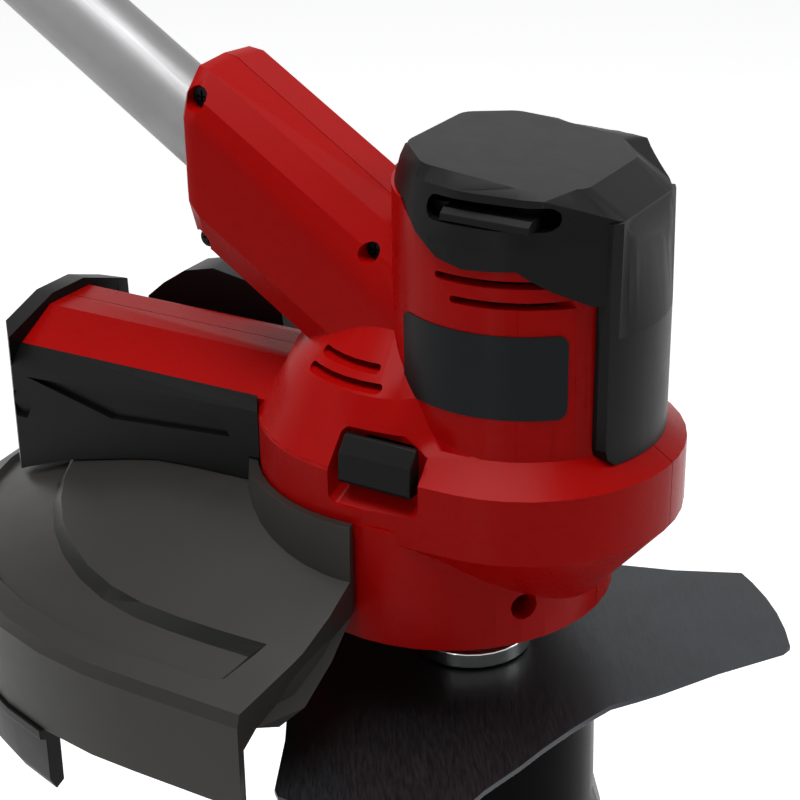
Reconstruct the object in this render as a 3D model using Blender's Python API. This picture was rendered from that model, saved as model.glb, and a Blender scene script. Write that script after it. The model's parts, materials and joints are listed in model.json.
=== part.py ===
"""Cordless brush cutter, built piece by piece in metres with +Z up.

The head frame has the blade's centre at its origin, +X away from the user and +Y to the user's left.
The shaft frame lies on the shaft's axis, +X down the shaft, with its origin where the harness eye sits.
"""
import math

import bmesh
import bpy
from mathutils import Matrix, Vector

# Gaps and facets
SEAT_GAP = 0.0003
ROUND_STEPS = 40
LOBE = 0.0503

# Head
BASE_X = -0.0074
BASE_RADIUS = 0.0503
BASE_BOTTOM = 0.025
MOTOR_X = 0.0172
RING_RADIUS = 0.048
RING_BOTTOM = 0.058
RING_TOP = 0.078
RING_SHOULDER = 0.0848
RING_DRAW = 0.0104
BODY_HALF = 0.0375
BODY_DRAFT = 0.0008
CAP_BRIM = 0.1603
CAP_TOP = 0.1650
CAP_FALL = 0.09
PANEL_RADIUS = 0.042
PANEL_BOTTOM = 0.0812
PANEL_TOP = 0.1525
LOBE_X = -0.015
SHAFT_ANGLE = math.radians(32.6)
SHAFT_HEIGHT = 0.120
SHAFT_X = -0.0395
CLAMP_REAR = -0.086
CLAMP_LENGTH = 0.060
TAIL_REAR = -0.152
TAIL_HALF = 0.025
TAIL_TOP = 0.0872
TAIL_EDGE = 0.0790
TAIL_FLOOR = 0.0655

# Drive and cutter
GEAR_MODULE = 0.0008
PINION_TEETH = 10
WHEEL_TEETH = 33
SPINDLE_RADIUS = 0.006
MOTOR_SHAFT = 0.0020
BLADE_RADIUS = 0.0993
BLADE_THICKNESS = 0.0016
BLADE_BORE = 0.0127
BLADE_TEETH = 3
CUP_RADIUS = 0.0395
CUP_BOTTOM = -0.062

# Guard
GUARD_END = -0.015
GUARD_CENTRE = -0.058
GUARD_HALF = 0.103
GUARD_REACH = 0.122
GUARD_EDGE = 0.025
GUARD_SKIRT = -0.005
GUARD_WALL = 0.003
GUARD_SINK = 0.0026
STRAIGHT_SHARE = 0.14
COLLAR_RADIUS = 0.0513
COLLAR_LIP = 0.0625
BRACKET_REAR = -0.159
BRACKET_HALF = 0.031

# Shaft, loop handle and rear grip
TUBE_RADIUS = 0.013
TUBE_WALL = 0.0015
EYE_TO_CLAMP = 1.000
EYE_HEIGHT = 0.034
GRIP_START = -0.130
TUBE_IN_GRIP = 0.060
LOOP_AT = 0.200
LOOP_PIVOT = 0.0215
LOOP_BOLT = 0.0040
LOOP_BAR = 0.0105
LOOP_HALF = 0.088
LOOP_MIDDLE = 0.105
LOOP_RISE = 0.072
LOOP_LEAN = 0.22
SHELL_WALL = 0.0028
TRIGGER_PIVOT = (-0.1980, 0, -0.0085)
LOCK_OFF_PIVOT = (-0.2470, 0, 0.0125)
PIN_RADIUS = 0.0020
PIN_BORE = 0.0023
SPEED_AT = -0.340

# Battery
PACK_HALF = 0.037
PACK_LOW = -0.056
PACK_HIGH = 0.044
PACK_FRONT = -0.3862
PACK_SPLIT = -0.4120
PACK_REAR = -0.4530
PACK_WALL = 0.0025
CELL_RADIUS = 0.00925
CELL_PITCH = 0.0182
TERMINALS = (-0.009, 0.0, 0.009)

FINISHES = {
    "red_plastic": ((0.45, 0.008, 0.008), 0.30, 0.0),
    "black_plastic": ((0.018, 0.018, 0.017), 0.42, 0.0),
    "guard_plastic": ((0.035, 0.033, 0.031), 0.50, 0.0),
    "soft_grip": ((0.015, 0.015, 0.015), 0.85, 0.0),
    "tube_aluminium": ((0.38, 0.38, 0.38), 0.38, 1.0),
    "blade_steel": ((0.08, 0.08, 0.085), 0.42, 1.0),
    "bright_steel": ((0.60, 0.60, 0.60), 0.25, 1.0),
    "gear_steel": ((0.30, 0.30, 0.31), 0.38, 1.0),
    "gear_plate_alloy": ((0.50, 0.50, 0.50), 0.45, 1.0),
    "copper_winding": ((0.45, 0.16, 0.06), 0.45, 1.0),
    "board_green": ((0.01, 0.10, 0.04), 0.50, 0.0),
    "cell_blue": ((0.02, 0.10, 0.25), 0.45, 0.0),
}
SIDES = ((-1, "right"), (1, "left"))


# Helpers

def clear_scene():
    for item in list(bpy.data.objects):
        bpy.data.objects.remove(item, do_unlink=True)


def mm(*points):
    """Points given in millimetres, in metres."""
    return [tuple(value / 1000 for value in point) for point in points]


def finish(name):
    """The Principled material called name, made the first time it is asked for."""
    found = bpy.data.materials.get(name)
    if found:
        return found
    colour, roughness, metallic = FINISHES[name]
    made = bpy.data.materials.new(name)
    made.use_nodes = True
    shader = made.node_tree.nodes["Principled BSDF"]
    shader.inputs["Base Color"].default_value = (*colour, 1.0)
    shader.inputs["Roughness"].default_value = roughness
    shader.inputs["Metallic"].default_value = metallic
    return made


def holder(name, location=(0, 0, 0), tilt=0.0, parent=None):
    """An empty that carries pieces; tilt turns it about Y."""
    empty = bpy.data.objects.new(name, None)
    empty.location = location
    empty.rotation_euler = (0, tilt, 0)
    empty.parent = parent
    bpy.context.collection.objects.link(empty)
    return empty


def place(name, bm, material, parent, location=(0, 0, 0)):
    """Put the bmesh in the scene as a named object under parent."""
    mesh = bpy.data.meshes.new(name)
    bm.to_mesh(mesh)
    bm.free()
    item = bpy.data.objects.new(name, mesh)
    item.location = location
    item.parent = parent
    bpy.context.collection.objects.link(item)
    if material:
        mesh.materials.append(finish(material))
    mesh.shade_smooth()
    mesh.set_sharp_from_angle(angle=math.radians(32))
    return item


def hidden(item):
    item.hide_render = True
    item.display_type = "WIRE"
    return item


def tool(name, bm, parent, location=(0, 0, 0)):
    """A cutter or helper form that is never a piece itself."""
    return hidden(place(name, bm, None, parent, location))


def combine(item, other, operation="DIFFERENCE"):
    step = item.modifiers.new(operation.lower() + "_" + other.name, "BOOLEAN")
    step.operation = operation
    step.object = other
    step.solver = "EXACT"
    return item


def cut(item, name, bm, parent, location=(0, 0, 0)):
    return combine(item, tool(name, bm, parent, location))


def join(item, name, bm, parent, location=(0, 0, 0)):
    return combine(item, tool(name, bm, parent, location), "UNION")


def close_up(bm):
    bmesh.ops.remove_doubles(bm, verts=bm.verts, dist=1e-6)
    bmesh.ops.recalc_face_normals(bm, faces=bm.faces)
    return bm


def turned(bm, angle, axis):
    bmesh.ops.rotate(bm, verts=bm.verts, matrix=Matrix.Rotation(angle, 3, axis))
    return bm


def shift(bm, x=0.0, y=0.0, z=0.0):
    bmesh.ops.translate(bm, verts=bm.verts, vec=(x, y, z))
    return bm


def loft(rings, loop=False):
    """Skin rings of equal length, capped at both ends or closed on itself."""
    bm = bmesh.new()
    rows = [[bm.verts.new(point) for point in ring] for ring in rings]
    if loop:
        rows.append(rows[0])
    count = len(rows[0])
    for low, high in zip(rows, rows[1:]):
        for i in range(count):
            j = (i + 1) % count
            bm.faces.new((low[i], low[j], high[j], high[i]))
    if not loop:
        bm.faces.new(rows[0])
        bm.faces.new(rows[-1])
    return close_up(bm)


def prism(outline, bottom, top):
    """An outline in X and Y, drawn up from bottom to top."""
    return loft([[(x, y, z) for x, y in outline] for z in (bottom, top)])


def slab(outline, left, right):
    """An outline in X and Z, drawn across from Y left to Y right."""
    return loft([[(x, y, z) for x, z in outline] for y in (left, right)])


def bar(outline, rear, front):
    """An outline in Y and Z, drawn along X from rear to front."""
    return loft([[(x, y, z) for y, z in outline] for x in (rear, front)])


def span(side, near, far):
    """Two Y limits on one side of the middle plane, in rising order."""
    return sorted((side * near, side * far))


def revolve(profile, steps=ROUND_STEPS, axis="Z"):
    """A closed profile of (radius, height) spun about an axis."""
    rings = []
    for k in range(steps):
        turn = 2 * math.pi * k / steps
        rings.append([(r * math.cos(turn), r * math.sin(turn), h) for r, h in profile])
    bm = loft(rings, loop=True)
    if axis == "X":
        turned(bm, math.pi / 2, "Y")
    if axis == "Y":
        turned(bm, -math.pi / 2, "X")
    return bm


def drum(radius, bottom, top, steps=ROUND_STEPS, axis="Z"):
    """A solid cylinder."""
    return revolve([(0, bottom), (radius, bottom), (radius, top), (0, top)], steps, axis)


def tube(outer, inner, bottom, top, steps=ROUND_STEPS, axis="Z", edge=0.0):
    """A ring or sleeve with an optional chamfer on its outer edges."""
    side = [(outer, bottom + edge), (outer, top - edge)]
    if edge:
        side = [(outer - edge, bottom), *side, (outer - edge, top)]
    return revolve([(inner, bottom), *side, (inner, top)], steps, axis)


def box(x0, x1, y0, y1, z0, z1):
    return prism([(x0, y0), (x1, y0), (x1, y1), (x0, y1)], z0, z1)


def rounded(corners, radius, steps=3):
    """A convex outline with each corner turned into an arc."""
    points = []
    for i, corner in enumerate(corners):
        here = Vector(corner)
        back = (Vector(corners[i - 1]) - here).normalized()
        ahead = (Vector(corners[(i + 1) % len(corners)]) - here).normalized()
        half = back.angle(ahead) / 2
        centre = here + (back + ahead).normalized() * radius / math.sin(half)
        start = here + back * radius / math.tan(half) - centre
        end = here + ahead * radius / math.tan(half) - centre
        for k in range(steps + 1):
            arm = start.lerp(end, k / steps).normalized() * radius
            points.append(tuple(centre + arm))
    return points


def rectangle(x0, x1, y0, y1, radius, steps=3):
    return rounded([(x0, y0), (x1, y0), (x1, y1), (x0, y1)], radius, steps)


def octagon(rear, front, half, cut_off, radius, steps=3):
    """An eight-sided outline, its long sides along X, with rounded corners."""
    side = [
        (front, half - cut_off), (front - cut_off, half),
        (rear + cut_off, half), (rear, half - cut_off),
    ]
    corners = side + [(x, -y) for x, y in reversed(side)]
    return rounded(corners, radius, steps)


def polygon(radius, sides, x=0.0, y=0.0):
    turns = [2 * math.pi * k / sides for k in range(sides)]
    return [(x + radius * math.cos(a), y + radius * math.sin(a)) for a in turns]


def egg(rear_x, rear_radius, front_x, front_radius, steps=ROUND_STEPS):
    """The outline of a belt round two circles on the X axis."""
    points = []
    for k in range(steps):
        a = 2 * math.pi * (k + 0.5) / steps
        rear_reach = rear_x * math.cos(a) + rear_radius
        front_reach = front_x * math.cos(a) + front_radius
        x, radius = (front_x, front_radius) if front_reach > rear_reach else (rear_x, rear_radius)
        points.append((x + radius * math.cos(a), radius * math.sin(a)))
    return points


def level(outline, z):
    return [(x, y, z) for x, y in outline]


def sloping(outline, z, fall, start):
    """An outline lifted to height z that falls away ahead of X start."""
    return [(x, y, z - fall * max(0.0, x - start)) for x, y in outline]


def axis_height(x):
    """Height of the shaft's axis over the blade plane at head position x."""
    return SHAFT_HEIGHT + (SHAFT_X - x) * math.tan(SHAFT_ANGLE)


# The red head housing

def body_outline(grow=0.0):
    """The motor body's plan: a regular octagon with wide corners."""
    half = BODY_HALF + grow
    return octagon(MOTOR_X - half, MOTOR_X + half, half, half * (2 - math.sqrt(2)), 0.014)


def cap_border(gap=0.0, floor=0.05, right=0.080):
    """Region under the cap's lower border, in X and Z, raised by gap."""
    border = mm(
        (-40, 156), (-6, 153.5), (1.5, 147), (10, 141.6), (18.5, 139.7), (34, 140.4), (42, 134.5),
        (50, 129.6),
    )
    border.append((right, border[-1][1]))
    return [(-0.040, floor), (right, floor), *reversed([(x, z + gap) for x, z in border])]


def motor_body(head):
    """The eight-sided motor body, stopped by the cap's slanting lower border."""
    top = 0.158
    rings = [level(body_outline(), RING_TOP - 0.004), level(body_outline(-BODY_DRAFT), top)]
    body = tool("motor_body_form", loft(rings), head)
    return combine(body, tool("cap_border_form", slab(cap_border(), -0.06, 0.06), head), "INTERSECT")


def clamp_ring(x, inset=0.0):
    """One section of the shaft clamp across the head, at head position x."""
    side = mm((0, 31.0), (13.5, 30.0), (20, 23.5), (23, 15.2), (23, -11.5), (19.5, -22), (0, -22.8))
    section = side + [(-y, z) for y, z in reversed(side[1:-1])]
    share = 1 - inset / side[3][0]
    return [(x, y * share, axis_height(x) + z * share) for y, z in section]


def tail_ring(x, grow=0.0, rise=0.0):
    """One section of the tail across the head; grow moves its sides out and rise lifts its top."""
    half = TAIL_HALF + grow
    side = [(0.010, TAIL_TOP + rise), (half, TAIL_EDGE + rise), (half, TAIL_FLOOR - grow)]
    section = side + [(-y, z) for y, z in reversed(side)]
    return [(x, y, z) for y, z in section]


def ring_rings():
    """Undercut, wall and shoulder of the ring that runs round the gear case and the motor."""
    undercut = 0.030
    taper = 0.86
    foot = RING_RADIUS - undercut * taper
    wall = egg(LOBE_X, LOBE, MOTOR_X, RING_RADIUS)
    top = egg(LOBE_X, LOBE - RING_DRAW, MOTOR_X, RING_RADIUS - RING_DRAW)
    return [
        level(egg(0.0, foot, MOTOR_X, foot), RING_BOTTOM - undercut),
        level(wall, RING_BOTTOM), level(wall, RING_TOP), level(top, RING_SHOULDER),
    ]


def lobe_rings():
    """Round rear of the gear case: a wall, a steep shoulder and a flatter crown."""
    proud = 0.0004
    sections = [(LOBE + proud, 0.0575), (LOBE + proud, 0.0770)]
    sections += mm((44.0, 88.0), (39.5, 97.0), (20.0, 113.5), (11.0, 118.0))
    return [level(polygon(radius, ROUND_STEPS, LOBE_X), z) for radius, z in sections]


def head_form(head):
    """The outer shape of both head shells as one closed form."""
    base = prism(polygon(BASE_RADIUS, ROUND_STEPS, BASE_X), BASE_BOTTOM, RING_BOTTOM + 0.004)
    form = tool("head_form", base, head)
    clamp = [
        clamp_ring(CLAMP_REAR, 0.0045), clamp_ring(CLAMP_REAR + 0.0025, 0.0015),
        clamp_ring(CLAMP_REAR + 0.0070), clamp_ring(-0.004),
    ]
    tail = [tail_ring(TAIL_REAR), tail_ring(-0.040, rise=0.0012)]
    join(form, "ring_form", loft(ring_rings()), head)
    join(form, "lobe_form", loft(lobe_rings()), head)
    join(form, "clamp_form", loft(clamp), head)
    join(form, "tail_form", loft(tail), head)
    return combine(form, motor_body(head), "UNION")


def shaft_bore(head):
    """The clamp's bore for the tube, along the shaft's axis."""
    run_out = -0.140
    bore = turned(drum(TUBE_RADIUS + SEAT_GAP, run_out, CLAMP_LENGTH + 0.001, 28, "X"), SHAFT_ANGLE, "Y")
    return tool("shaft_bore", shift(bore, CLAMP_REAR, 0, axis_height(CLAMP_REAR)), head)


def clamp_wells(side, word, head):
    """Sunk seats for the three screws that close the clamp on one flank."""
    cuts = []
    floor = 0.0145
    for n, (x, off_axis, radius) in enumerate(mm((-80.5, 18.5, 3.6), (-81, -18.5, 3.6), (-22, 19, 3.0))):
        z = axis_height(x) + off_axis / math.cos(SHAFT_ANGLE)
        well = slab(polygon(radius, 12, x, z), *span(side, floor, 0.030))
        cuts.append(tool(f"screw_well_{word}_{n}", well, head))
    return cuts


def base_well(side, word, head):
    """Sunk seat for the screw that closes the base, square to its round wall."""
    bearing = math.radians(35)
    depth = 0.014
    radius = 0.0042
    reach = BASE_RADIUS - 0.0115
    well = turned(drum(radius, 0.0, depth, 12, "X"), side * bearing, "Z")
    shift(well, BASE_X + reach * math.cos(bearing), side * reach * math.sin(bearing), 0.0368)
    return tool(f"base_well_{word}", well, head)


def flank_vents(side, word, head):
    """Two slots over the lobe's crown and two under the cap, on one flank."""
    half = 0.0011
    slots = mm((-35, -8, 98.7), (-33, -11, 102.6), (9, 42, 136.5), (14, 50, 130.5))
    cuts = []
    for n, (x0, x1, z) in enumerate(slots):
        slot = rectangle(x0, x1, z - half, z + half, 0.001, 2)
        cuts.append(tool(f"vent_{word}_{n}", slab(slot, *span(side, 0.024, 0.055)), head))
    return cuts


def button_recess(head):
    """Hollow in the right flank for the lock button, with the hole for its stem."""
    mouth = rectangle(*mm((-18, 10.5, 67.0, 90.0, 3))[0], 3)
    floor = rectangle(*mm((-16, 9.0, 72.7, 88.0, 2))[0], 3)
    rings = [(mouth, -0.060), (mouth, -0.0495), (floor, -0.0405)]
    recess = tool("button_recess", loft([[(x, y, z) for x, z in ring] for ring, y in rings]), head)
    hole = slab(rectangle(*mm((-12, 6, 74.5, 86, 2))[0], 2), -0.050, -0.030)
    return [recess, tool("button_stem_hole", hole, head)]


def chamber(head):
    """The room inside the head: motor bore, gear room and the spindle's bearing seats."""
    hollow = tool("head_chamber", shift(drum(0.0330, 0.0835, 0.170, 32), MOTOR_X), head)
    gear_room = egg(0.0, 0.036, MOTOR_X, 0.0370, 32)
    join(hollow, "gear_room", prism(gear_room, 0.0460, 0.0840), head)
    seats = mm((0, 20), (8.5, 20), (8.5, 29.5), (16.3, 29.5), (16.3, 50), (0, 50))
    return join(hollow, "spindle_seat", revolve(seats, 24), head)


def housing_shells(head):
    """Right and left shell: the same form, split on the middle plane and hollowed."""
    form = head_form(head)
    shared = [chamber(head), shaft_bore(head)]
    for side, word in SIDES:
        half = box(-0.20, 0.10, *span(side, SEAT_GAP / 2, 0.080), 0.0, 0.25)
        shell = place(f"housing_{word}", half, "red_plastic", head)
        combine(shell, form, "INTERSECT")
        cuts = [*shared, *clamp_wells(side, word, head), base_well(side, word, head)]
        cuts += flank_vents(side, word, head)
        if word == "right":
            cuts += button_recess(head)
        for form_cut in cuts:
            combine(shell, form_cut)


# The motor cap and the lock button

def cap_rings():
    """Skirt, wall, brim and top of the cap; the top falls away towards the front."""
    return [
        level(octagon(MOTOR_X - 0.0390, MOTOR_X + 0.0395, 0.0388, 0.0225, 0.014), 0.122),
        level(octagon(MOTOR_X - 0.0385, MOTOR_X + 0.0390, 0.0382, 0.0222, 0.014), 0.147),
        sloping(octagon(MOTOR_X - 0.0372, MOTOR_X + 0.0380, 0.0350, 0.0190, 0.010), CAP_BRIM, 0.62, 0.042),
        sloping(octagon(-0.0115, 0.0440, 0.0283, 0.0120, 0.007), CAP_TOP, CAP_FALL, -0.0115),
    ]


def cap_hollow():
    inner = octagon(MOTOR_X - 0.0345, MOTOR_X + 0.0345, 0.0342, 0.0200, 0.008, 2)
    brim = octagon(MOTOR_X - 0.0340, MOTOR_X + 0.0335, 0.0318, 0.0175, 0.007, 2)
    top = octagon(-0.0085, 0.0405, 0.0250, 0.0110, 0.005, 2)
    return loft([
        level(inner, 0.118), level(inner, 0.146), sloping(brim, CAP_BRIM - 0.0035, 0.45, 0.040),
        sloping(top, CAP_TOP - 0.003, CAP_FALL, -0.0085),
    ])


def front_panel(head):
    """Curved panel down the front of the motor, rounded at its lower corners."""
    inner_x = MOTOR_X + 0.020
    turns = [math.radians(-30 + 5 * k) for k in range(13)]
    arc = [(MOTOR_X + PANEL_RADIUS * math.cos(a), PANEL_RADIUS * math.sin(a)) for a in turns]
    foot = [(inner_x, -0.0180), *arc, (inner_x, 0.0180)]
    head_end = [(min(x, MOTOR_X + 0.0380), y * 0.94) for x, y in foot]
    panel_form = loft([level(foot, PANEL_BOTTOM), level(foot, 0.12), level(head_end, PANEL_TOP)])
    panel = tool("front_panel_form", panel_form, head)
    outline = rectangle(-0.0205, 0.0205, PANEL_BOTTOM, PANEL_TOP + 0.020, 0.006)
    return combine(panel, tool("panel_outline", bar(outline, 0.02, 0.07), head), "INTERSECT")


def motor_cap(head):
    """Black motor cap with its intake slots and the front panel that runs down to the ring."""
    cap = place("motor_cap", loft(cap_rings()), "black_plastic", head)
    cut(cap, "under_cap_form", slab(cap_border(SEAT_GAP, 0.04), -0.06, 0.06), head)
    combine(cap, front_panel(head), "UNION")
    lower = level(body_outline(SEAT_GAP), RING_TOP - 0.010)
    seat = [lower, level(body_outline(SEAT_GAP - BODY_DRAFT), 0.158)]
    seat_form = tool("cap_seat_form", loft(seat), head)
    combine(seat_form, tool("cap_seat_limit", slab(cap_border(0.0, 0.04), -0.06, 0.06), head), "INTERSECT")
    combine(cap, seat_form)
    ring_seat = [
        (RING_RADIUS, 0.060), (RING_RADIUS, RING_TOP + SEAT_GAP),
        (RING_RADIUS - RING_DRAW, RING_SHOULDER + 2 * SEAT_GAP),
    ]
    seat_rings = [level(polygon(radius, ROUND_STEPS, MOTOR_X), z) for radius, z in ring_seat]
    cut(cap, "ring_seat_form", loft(seat_rings), head)
    cut(cap, "cap_hollow", cap_hollow(), head)
    for side, word in SIDES:
        slot = rectangle(0.005, 0.043, 0.1515, 0.1582, 0.003, 3)
        cut(cap, f"intake_{word}", slab(slot, *span(side, 0.024, 0.048)), head)


def intake_screen(head):
    """Frame inside the cap whose two lips stand in the intake slots and leave a gap above them."""
    outer = octagon(MOTOR_X - 0.0300, MOTOR_X + 0.0245, 0.0305, 0.0165, 0.006, 2)
    inner = octagon(MOTOR_X - 0.0285, MOTOR_X + 0.0230, 0.0285, 0.0157, 0.005, 2)
    screen = place("intake_screen", prism(outer, 0.1480, 0.1552), "black_plastic", head)
    cut(screen, "screen_inside", prism(inner, 0.140, 0.160), head)
    lip = mm((29.5, 151.9), (36.4, 151.9), (36.0, 153.7), (34.2, 155.2), (29.5, 155.2))
    for side, word in SIDES:
        outline = [(side * y, z) for y, z in lip]
        join(screen, f"screen_lip_{word}", bar(outline, 0.0105, 0.0370), head)


def lock_button(head):
    """Spindle lock on the right flank: a wedge for the finger with its stem."""
    wedge = mm((-44, 73.5), (-49, 73.5), (-49.7, 74.5), (-49.2, 82.5), (-45.4, 87.2), (-44, 87.2))
    button = place("lock_button", bar(wedge, -0.0152, 0.0082), "black_plastic", head)
    stem = slab(rectangle(*mm((-11, 5, 75.5, 85, 1.5))[0], 2), -0.0450, -0.0365)
    join(button, "button_stem", stem, head)


# The drive inside the head

def gear_outline(teeth, backlash=0.00012):
    """A spur gear outline: involute flanks between root and tip circles."""
    pressure = math.radians(20)
    pitch = GEAR_MODULE * teeth / 2
    base = pitch * math.cos(pressure)
    root = max(pitch - 1.2 * GEAR_MODULE, 0.0018)
    tip = pitch + 0.95 * GEAR_MODULE
    flare = math.tan(pressure) - pressure
    half = math.pi / (2 * teeth) - backlash / (2 * pitch)
    points = []
    for k in range(teeth):
        middle = 2 * math.pi * k / teeth
        flank = []
        for n in range(2):
            r = max(base, root) + (tip - max(base, root)) * n
            roll = math.acos(min(1.0, base / r))
            flank.append((r, half + flare - (math.tan(roll) - roll)))
        inner = flank[0][1]
        whole = [(root, inner + 0.02), *flank]
        for r, a in whole:
            points.append((r * math.cos(middle - a), r * math.sin(middle - a)))
        for r, a in reversed(whole):
            points.append((r * math.cos(middle + a), r * math.sin(middle + a)))
    return points


def drive_train(head):
    """Pinion and wheel, spindle, motor and bearings. The motor stands ahead of the spindle."""
    spin = holder("spindle_axis", parent=head)
    motor = holder("motor_axis", (MOTOR_X, 0, 0), parent=head)
    wheel = place("drive_gear", prism(gear_outline(WHEEL_TEETH), 0.0500, 0.0580), "gear_steel", spin)
    combine(wheel, tool("wheel_bore", drum(SPINDLE_RADIUS + SEAT_GAP, 0.04, 0.07, 20), spin))
    profile = [
        (0, -0.0280), (0.0046, -0.0280), (0.0050, -0.0275), (0.0050, 0.0010), (0.0060, 0.0012),
        (0.0060, 0.0205), (0.0075, 0.0205), (0.0075, 0.0290), (SPINDLE_RADIUS, 0.0290),
        (SPINDLE_RADIUS, 0.0640), (0.0030, 0.0640), (0.0030, 0.0720), (0, 0.0720),
    ]
    place("spindle", revolve(profile, 20), "bright_steel", spin)
    place("lower_spindle_bearing", tube(0.0160, 0.0063, 0.0298, 0.0398, 28), "bright_steel", head)
    place("upper_spindle_bearing", tube(0.0095, 0.0033, 0.0648, 0.0708, 24), "bright_steel", head)
    half_tooth = math.pi / PINION_TEETH
    pinion = prism(gear_outline(PINION_TEETH), 0.0490, 0.0600)
    turned(pinion, math.pi + half_tooth, "Z")
    pinion_item = place("pinion", pinion, "gear_steel", motor)
    combine(pinion_item, tool("pinion_bore", drum(MOTOR_SHAFT - 0.0005, 0.03, 0.08, 24), motor))
    shaft = [
        (0, 0.0480), (0.0012, 0.0480), (0.0012, 0.0605), (MOTOR_SHAFT, 0.0605), (MOTOR_SHAFT, 0.0880),
        (0.0190, 0.0880), (0.0190, 0.1180), (0.0100, 0.1180), (0.0100, 0.1230), (0.0025, 0.1230),
        (0.0025, 0.1480), (0, 0.1480),
    ]
    place("motor_rotor", revolve(shaft, 20), "gear_steel", motor)
    stator = tube(0.0320, 0.0195, 0.0860, 0.1200, 28)
    place("motor_stator", stator, "copper_winding", motor)
    plate_form = prism(egg(0.0, 0.0350, MOTOR_X, 0.0330, 32), 0.0645, 0.0730)
    plate = place("gear_plate", plate_form, "gear_plate_alloy", head)
    spindle_steps = mm((0, 60), (9.8, 60), (9.8, 71.1), (3.6, 71.1), (3.6, 80), (0, 80))
    combine(plate, tool("spindle_pocket", revolve(spindle_steps, 20), head))
    motor_steps = mm((0, 60), (3.5, 60), (3.5, 67.5), (6.7, 67.5), (6.7, 80), (0, 80))
    combine(plate, tool("motor_pocket", shift(revolve(motor_steps, 20), MOTOR_X), head))
    place("motor_bearing", tube(0.0064, 0.0023, 0.0678, 0.0728, 20), "bright_steel", motor)
    cooling_fan(motor)
    return spin


def cooling_fan(motor):
    """Radial fan on the motor shaft: a hub, a disc and straight blades."""
    fan = place("cooling_fan", tube(0.0275, 0.0028, 0.1285, 0.1305, 28), "black_plastic", motor)
    hub = revolve([(0.0028, 0.1290), (0.0065, 0.1290), (0.0065, 0.1400), (0.0028, 0.1400)], 16)
    combine(fan, tool("fan_hub", hub, motor), "UNION")
    count = 7
    for n in range(count):
        blade = box(0.0110, 0.0265, -0.0007, 0.0007, 0.1295, 0.1385)
        turned(blade, 2 * math.pi * n / count, "Z")
        combine(fan, tool(f"fan_blade_{n}", blade, motor), "UNION")
    return fan


# The cutting side

def blade_outline():
    """Three teeth with ground leading edges, a tip arc and a swept back."""
    arc = [(BLADE_RADIUS * 1000, 27 + 5.75 * k) for k in range(5)]
    front = [(56.2, -13), (60, -5), (64.5, 2), (77.6, 15.8), (97.0, 25.2)]
    rear = [(99.3, 54.2), (80.5, 62), (70, 71), (63.5, 78.5), (58, 90), (56.2, 100)]
    points = []
    for k in range(BLADE_TEETH):
        for radius, angle in front + arc + rear:
            a = math.radians(angle + 360 * k / BLADE_TEETH)
            points += mm((radius * math.cos(a), radius * math.sin(a)))
    return points


def cutting_set(spin):
    """Driver flange, blade, clamping washer, support cup and nut, all on the spindle."""
    half = BLADE_THICKNESS / 2
    steel = place("blade", prism(blade_outline(), -half, half), "blade_steel", spin)
    cut(steel, "blade_bore", drum(BLADE_BORE, -0.01, 0.01, 32), spin)
    seat = half + SEAT_GAP
    hub = BLADE_BORE - SEAT_GAP
    flange = [
        (0.0063, -0.0003), (hub, -0.0003), (hub, seat), (0.0185, seat), (0.0190, seat + 0.0005),
        (0.0190, 0.0062), (0.0180, 0.0070), (0.0120, 0.0070), (0.0105, 0.0200), (0.0063, 0.0200),
    ]
    place("driver_flange", revolve(flange, 28), "bright_steel", spin)
    washer = [(0.0053, -0.0036), (0.0190, -0.0036), (0.0196, -0.0030), (0.0196, -seat), (0.0053, -seat)]
    place("clamping_washer", revolve(washer, 28), "bright_steel", spin)
    wall = mm((5.3, -3.9), (25, -3.9), (34.5, -6), (38.6, -10.5), (39.5, -18))
    wall += [(CUP_RADIUS + 0.0005, -0.0500), (0.0425, -0.0600), (0.0420, CUP_BOTTOM)]
    bore = [(0.0245, CUP_BOTTOM), (0.0235, -0.0600), (0.0225, -0.0120), (0.0053, -0.0120)]
    place("support_cup", revolve(wall + bore, 36), "black_plastic", spin)
    nut = place("blade_nut", prism(polygon(0.0098, 6), -0.0230, -0.0140), "bright_steel", spin)
    join(nut, "nut_washer", drum(0.0125, -0.0146, -0.0123, 20), spin)
    cut(nut, "nut_thread", drum(0.0053, -0.03, -0.01, 16), spin)


# The guard

def guard_rim(s, half=GUARD_HALF, reach=GUARD_REACH):
    """A line round the guard in plan, s from 0 at the right end to 1 at the left end."""
    side = -1 if s < 0.5 else 1
    share = min(s, 1 - s)
    if share < STRAIGHT_SHARE:
        run = (GUARD_CENTRE - GUARD_END) * share / STRAIGHT_SHARE
        return Vector((GUARD_END + run, side * half))
    a = math.pi / 2 * (share - STRAIGHT_SHARE) / (0.5 - STRAIGHT_SHARE)
    return Vector((GUARD_CENTRE - reach * math.sin(a), side * half * math.cos(a)))


def guard_out(s):
    """Direction square to the rim, away from the guard."""
    step = 0.002
    along = guard_rim(min(s + step, 1)) - guard_rim(max(s - step, 0))
    return Vector((along.y, -along.x)).normalized() * -1


def guard_collar(s):
    """Rim of the hole that goes round the gear case, matched to guard_rim."""
    a = math.radians(-97 - 166 * s)
    return Vector((LOBE_X + COLLAR_RADIUS * math.cos(a), COLLAR_RADIUS * math.sin(a)))


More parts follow.
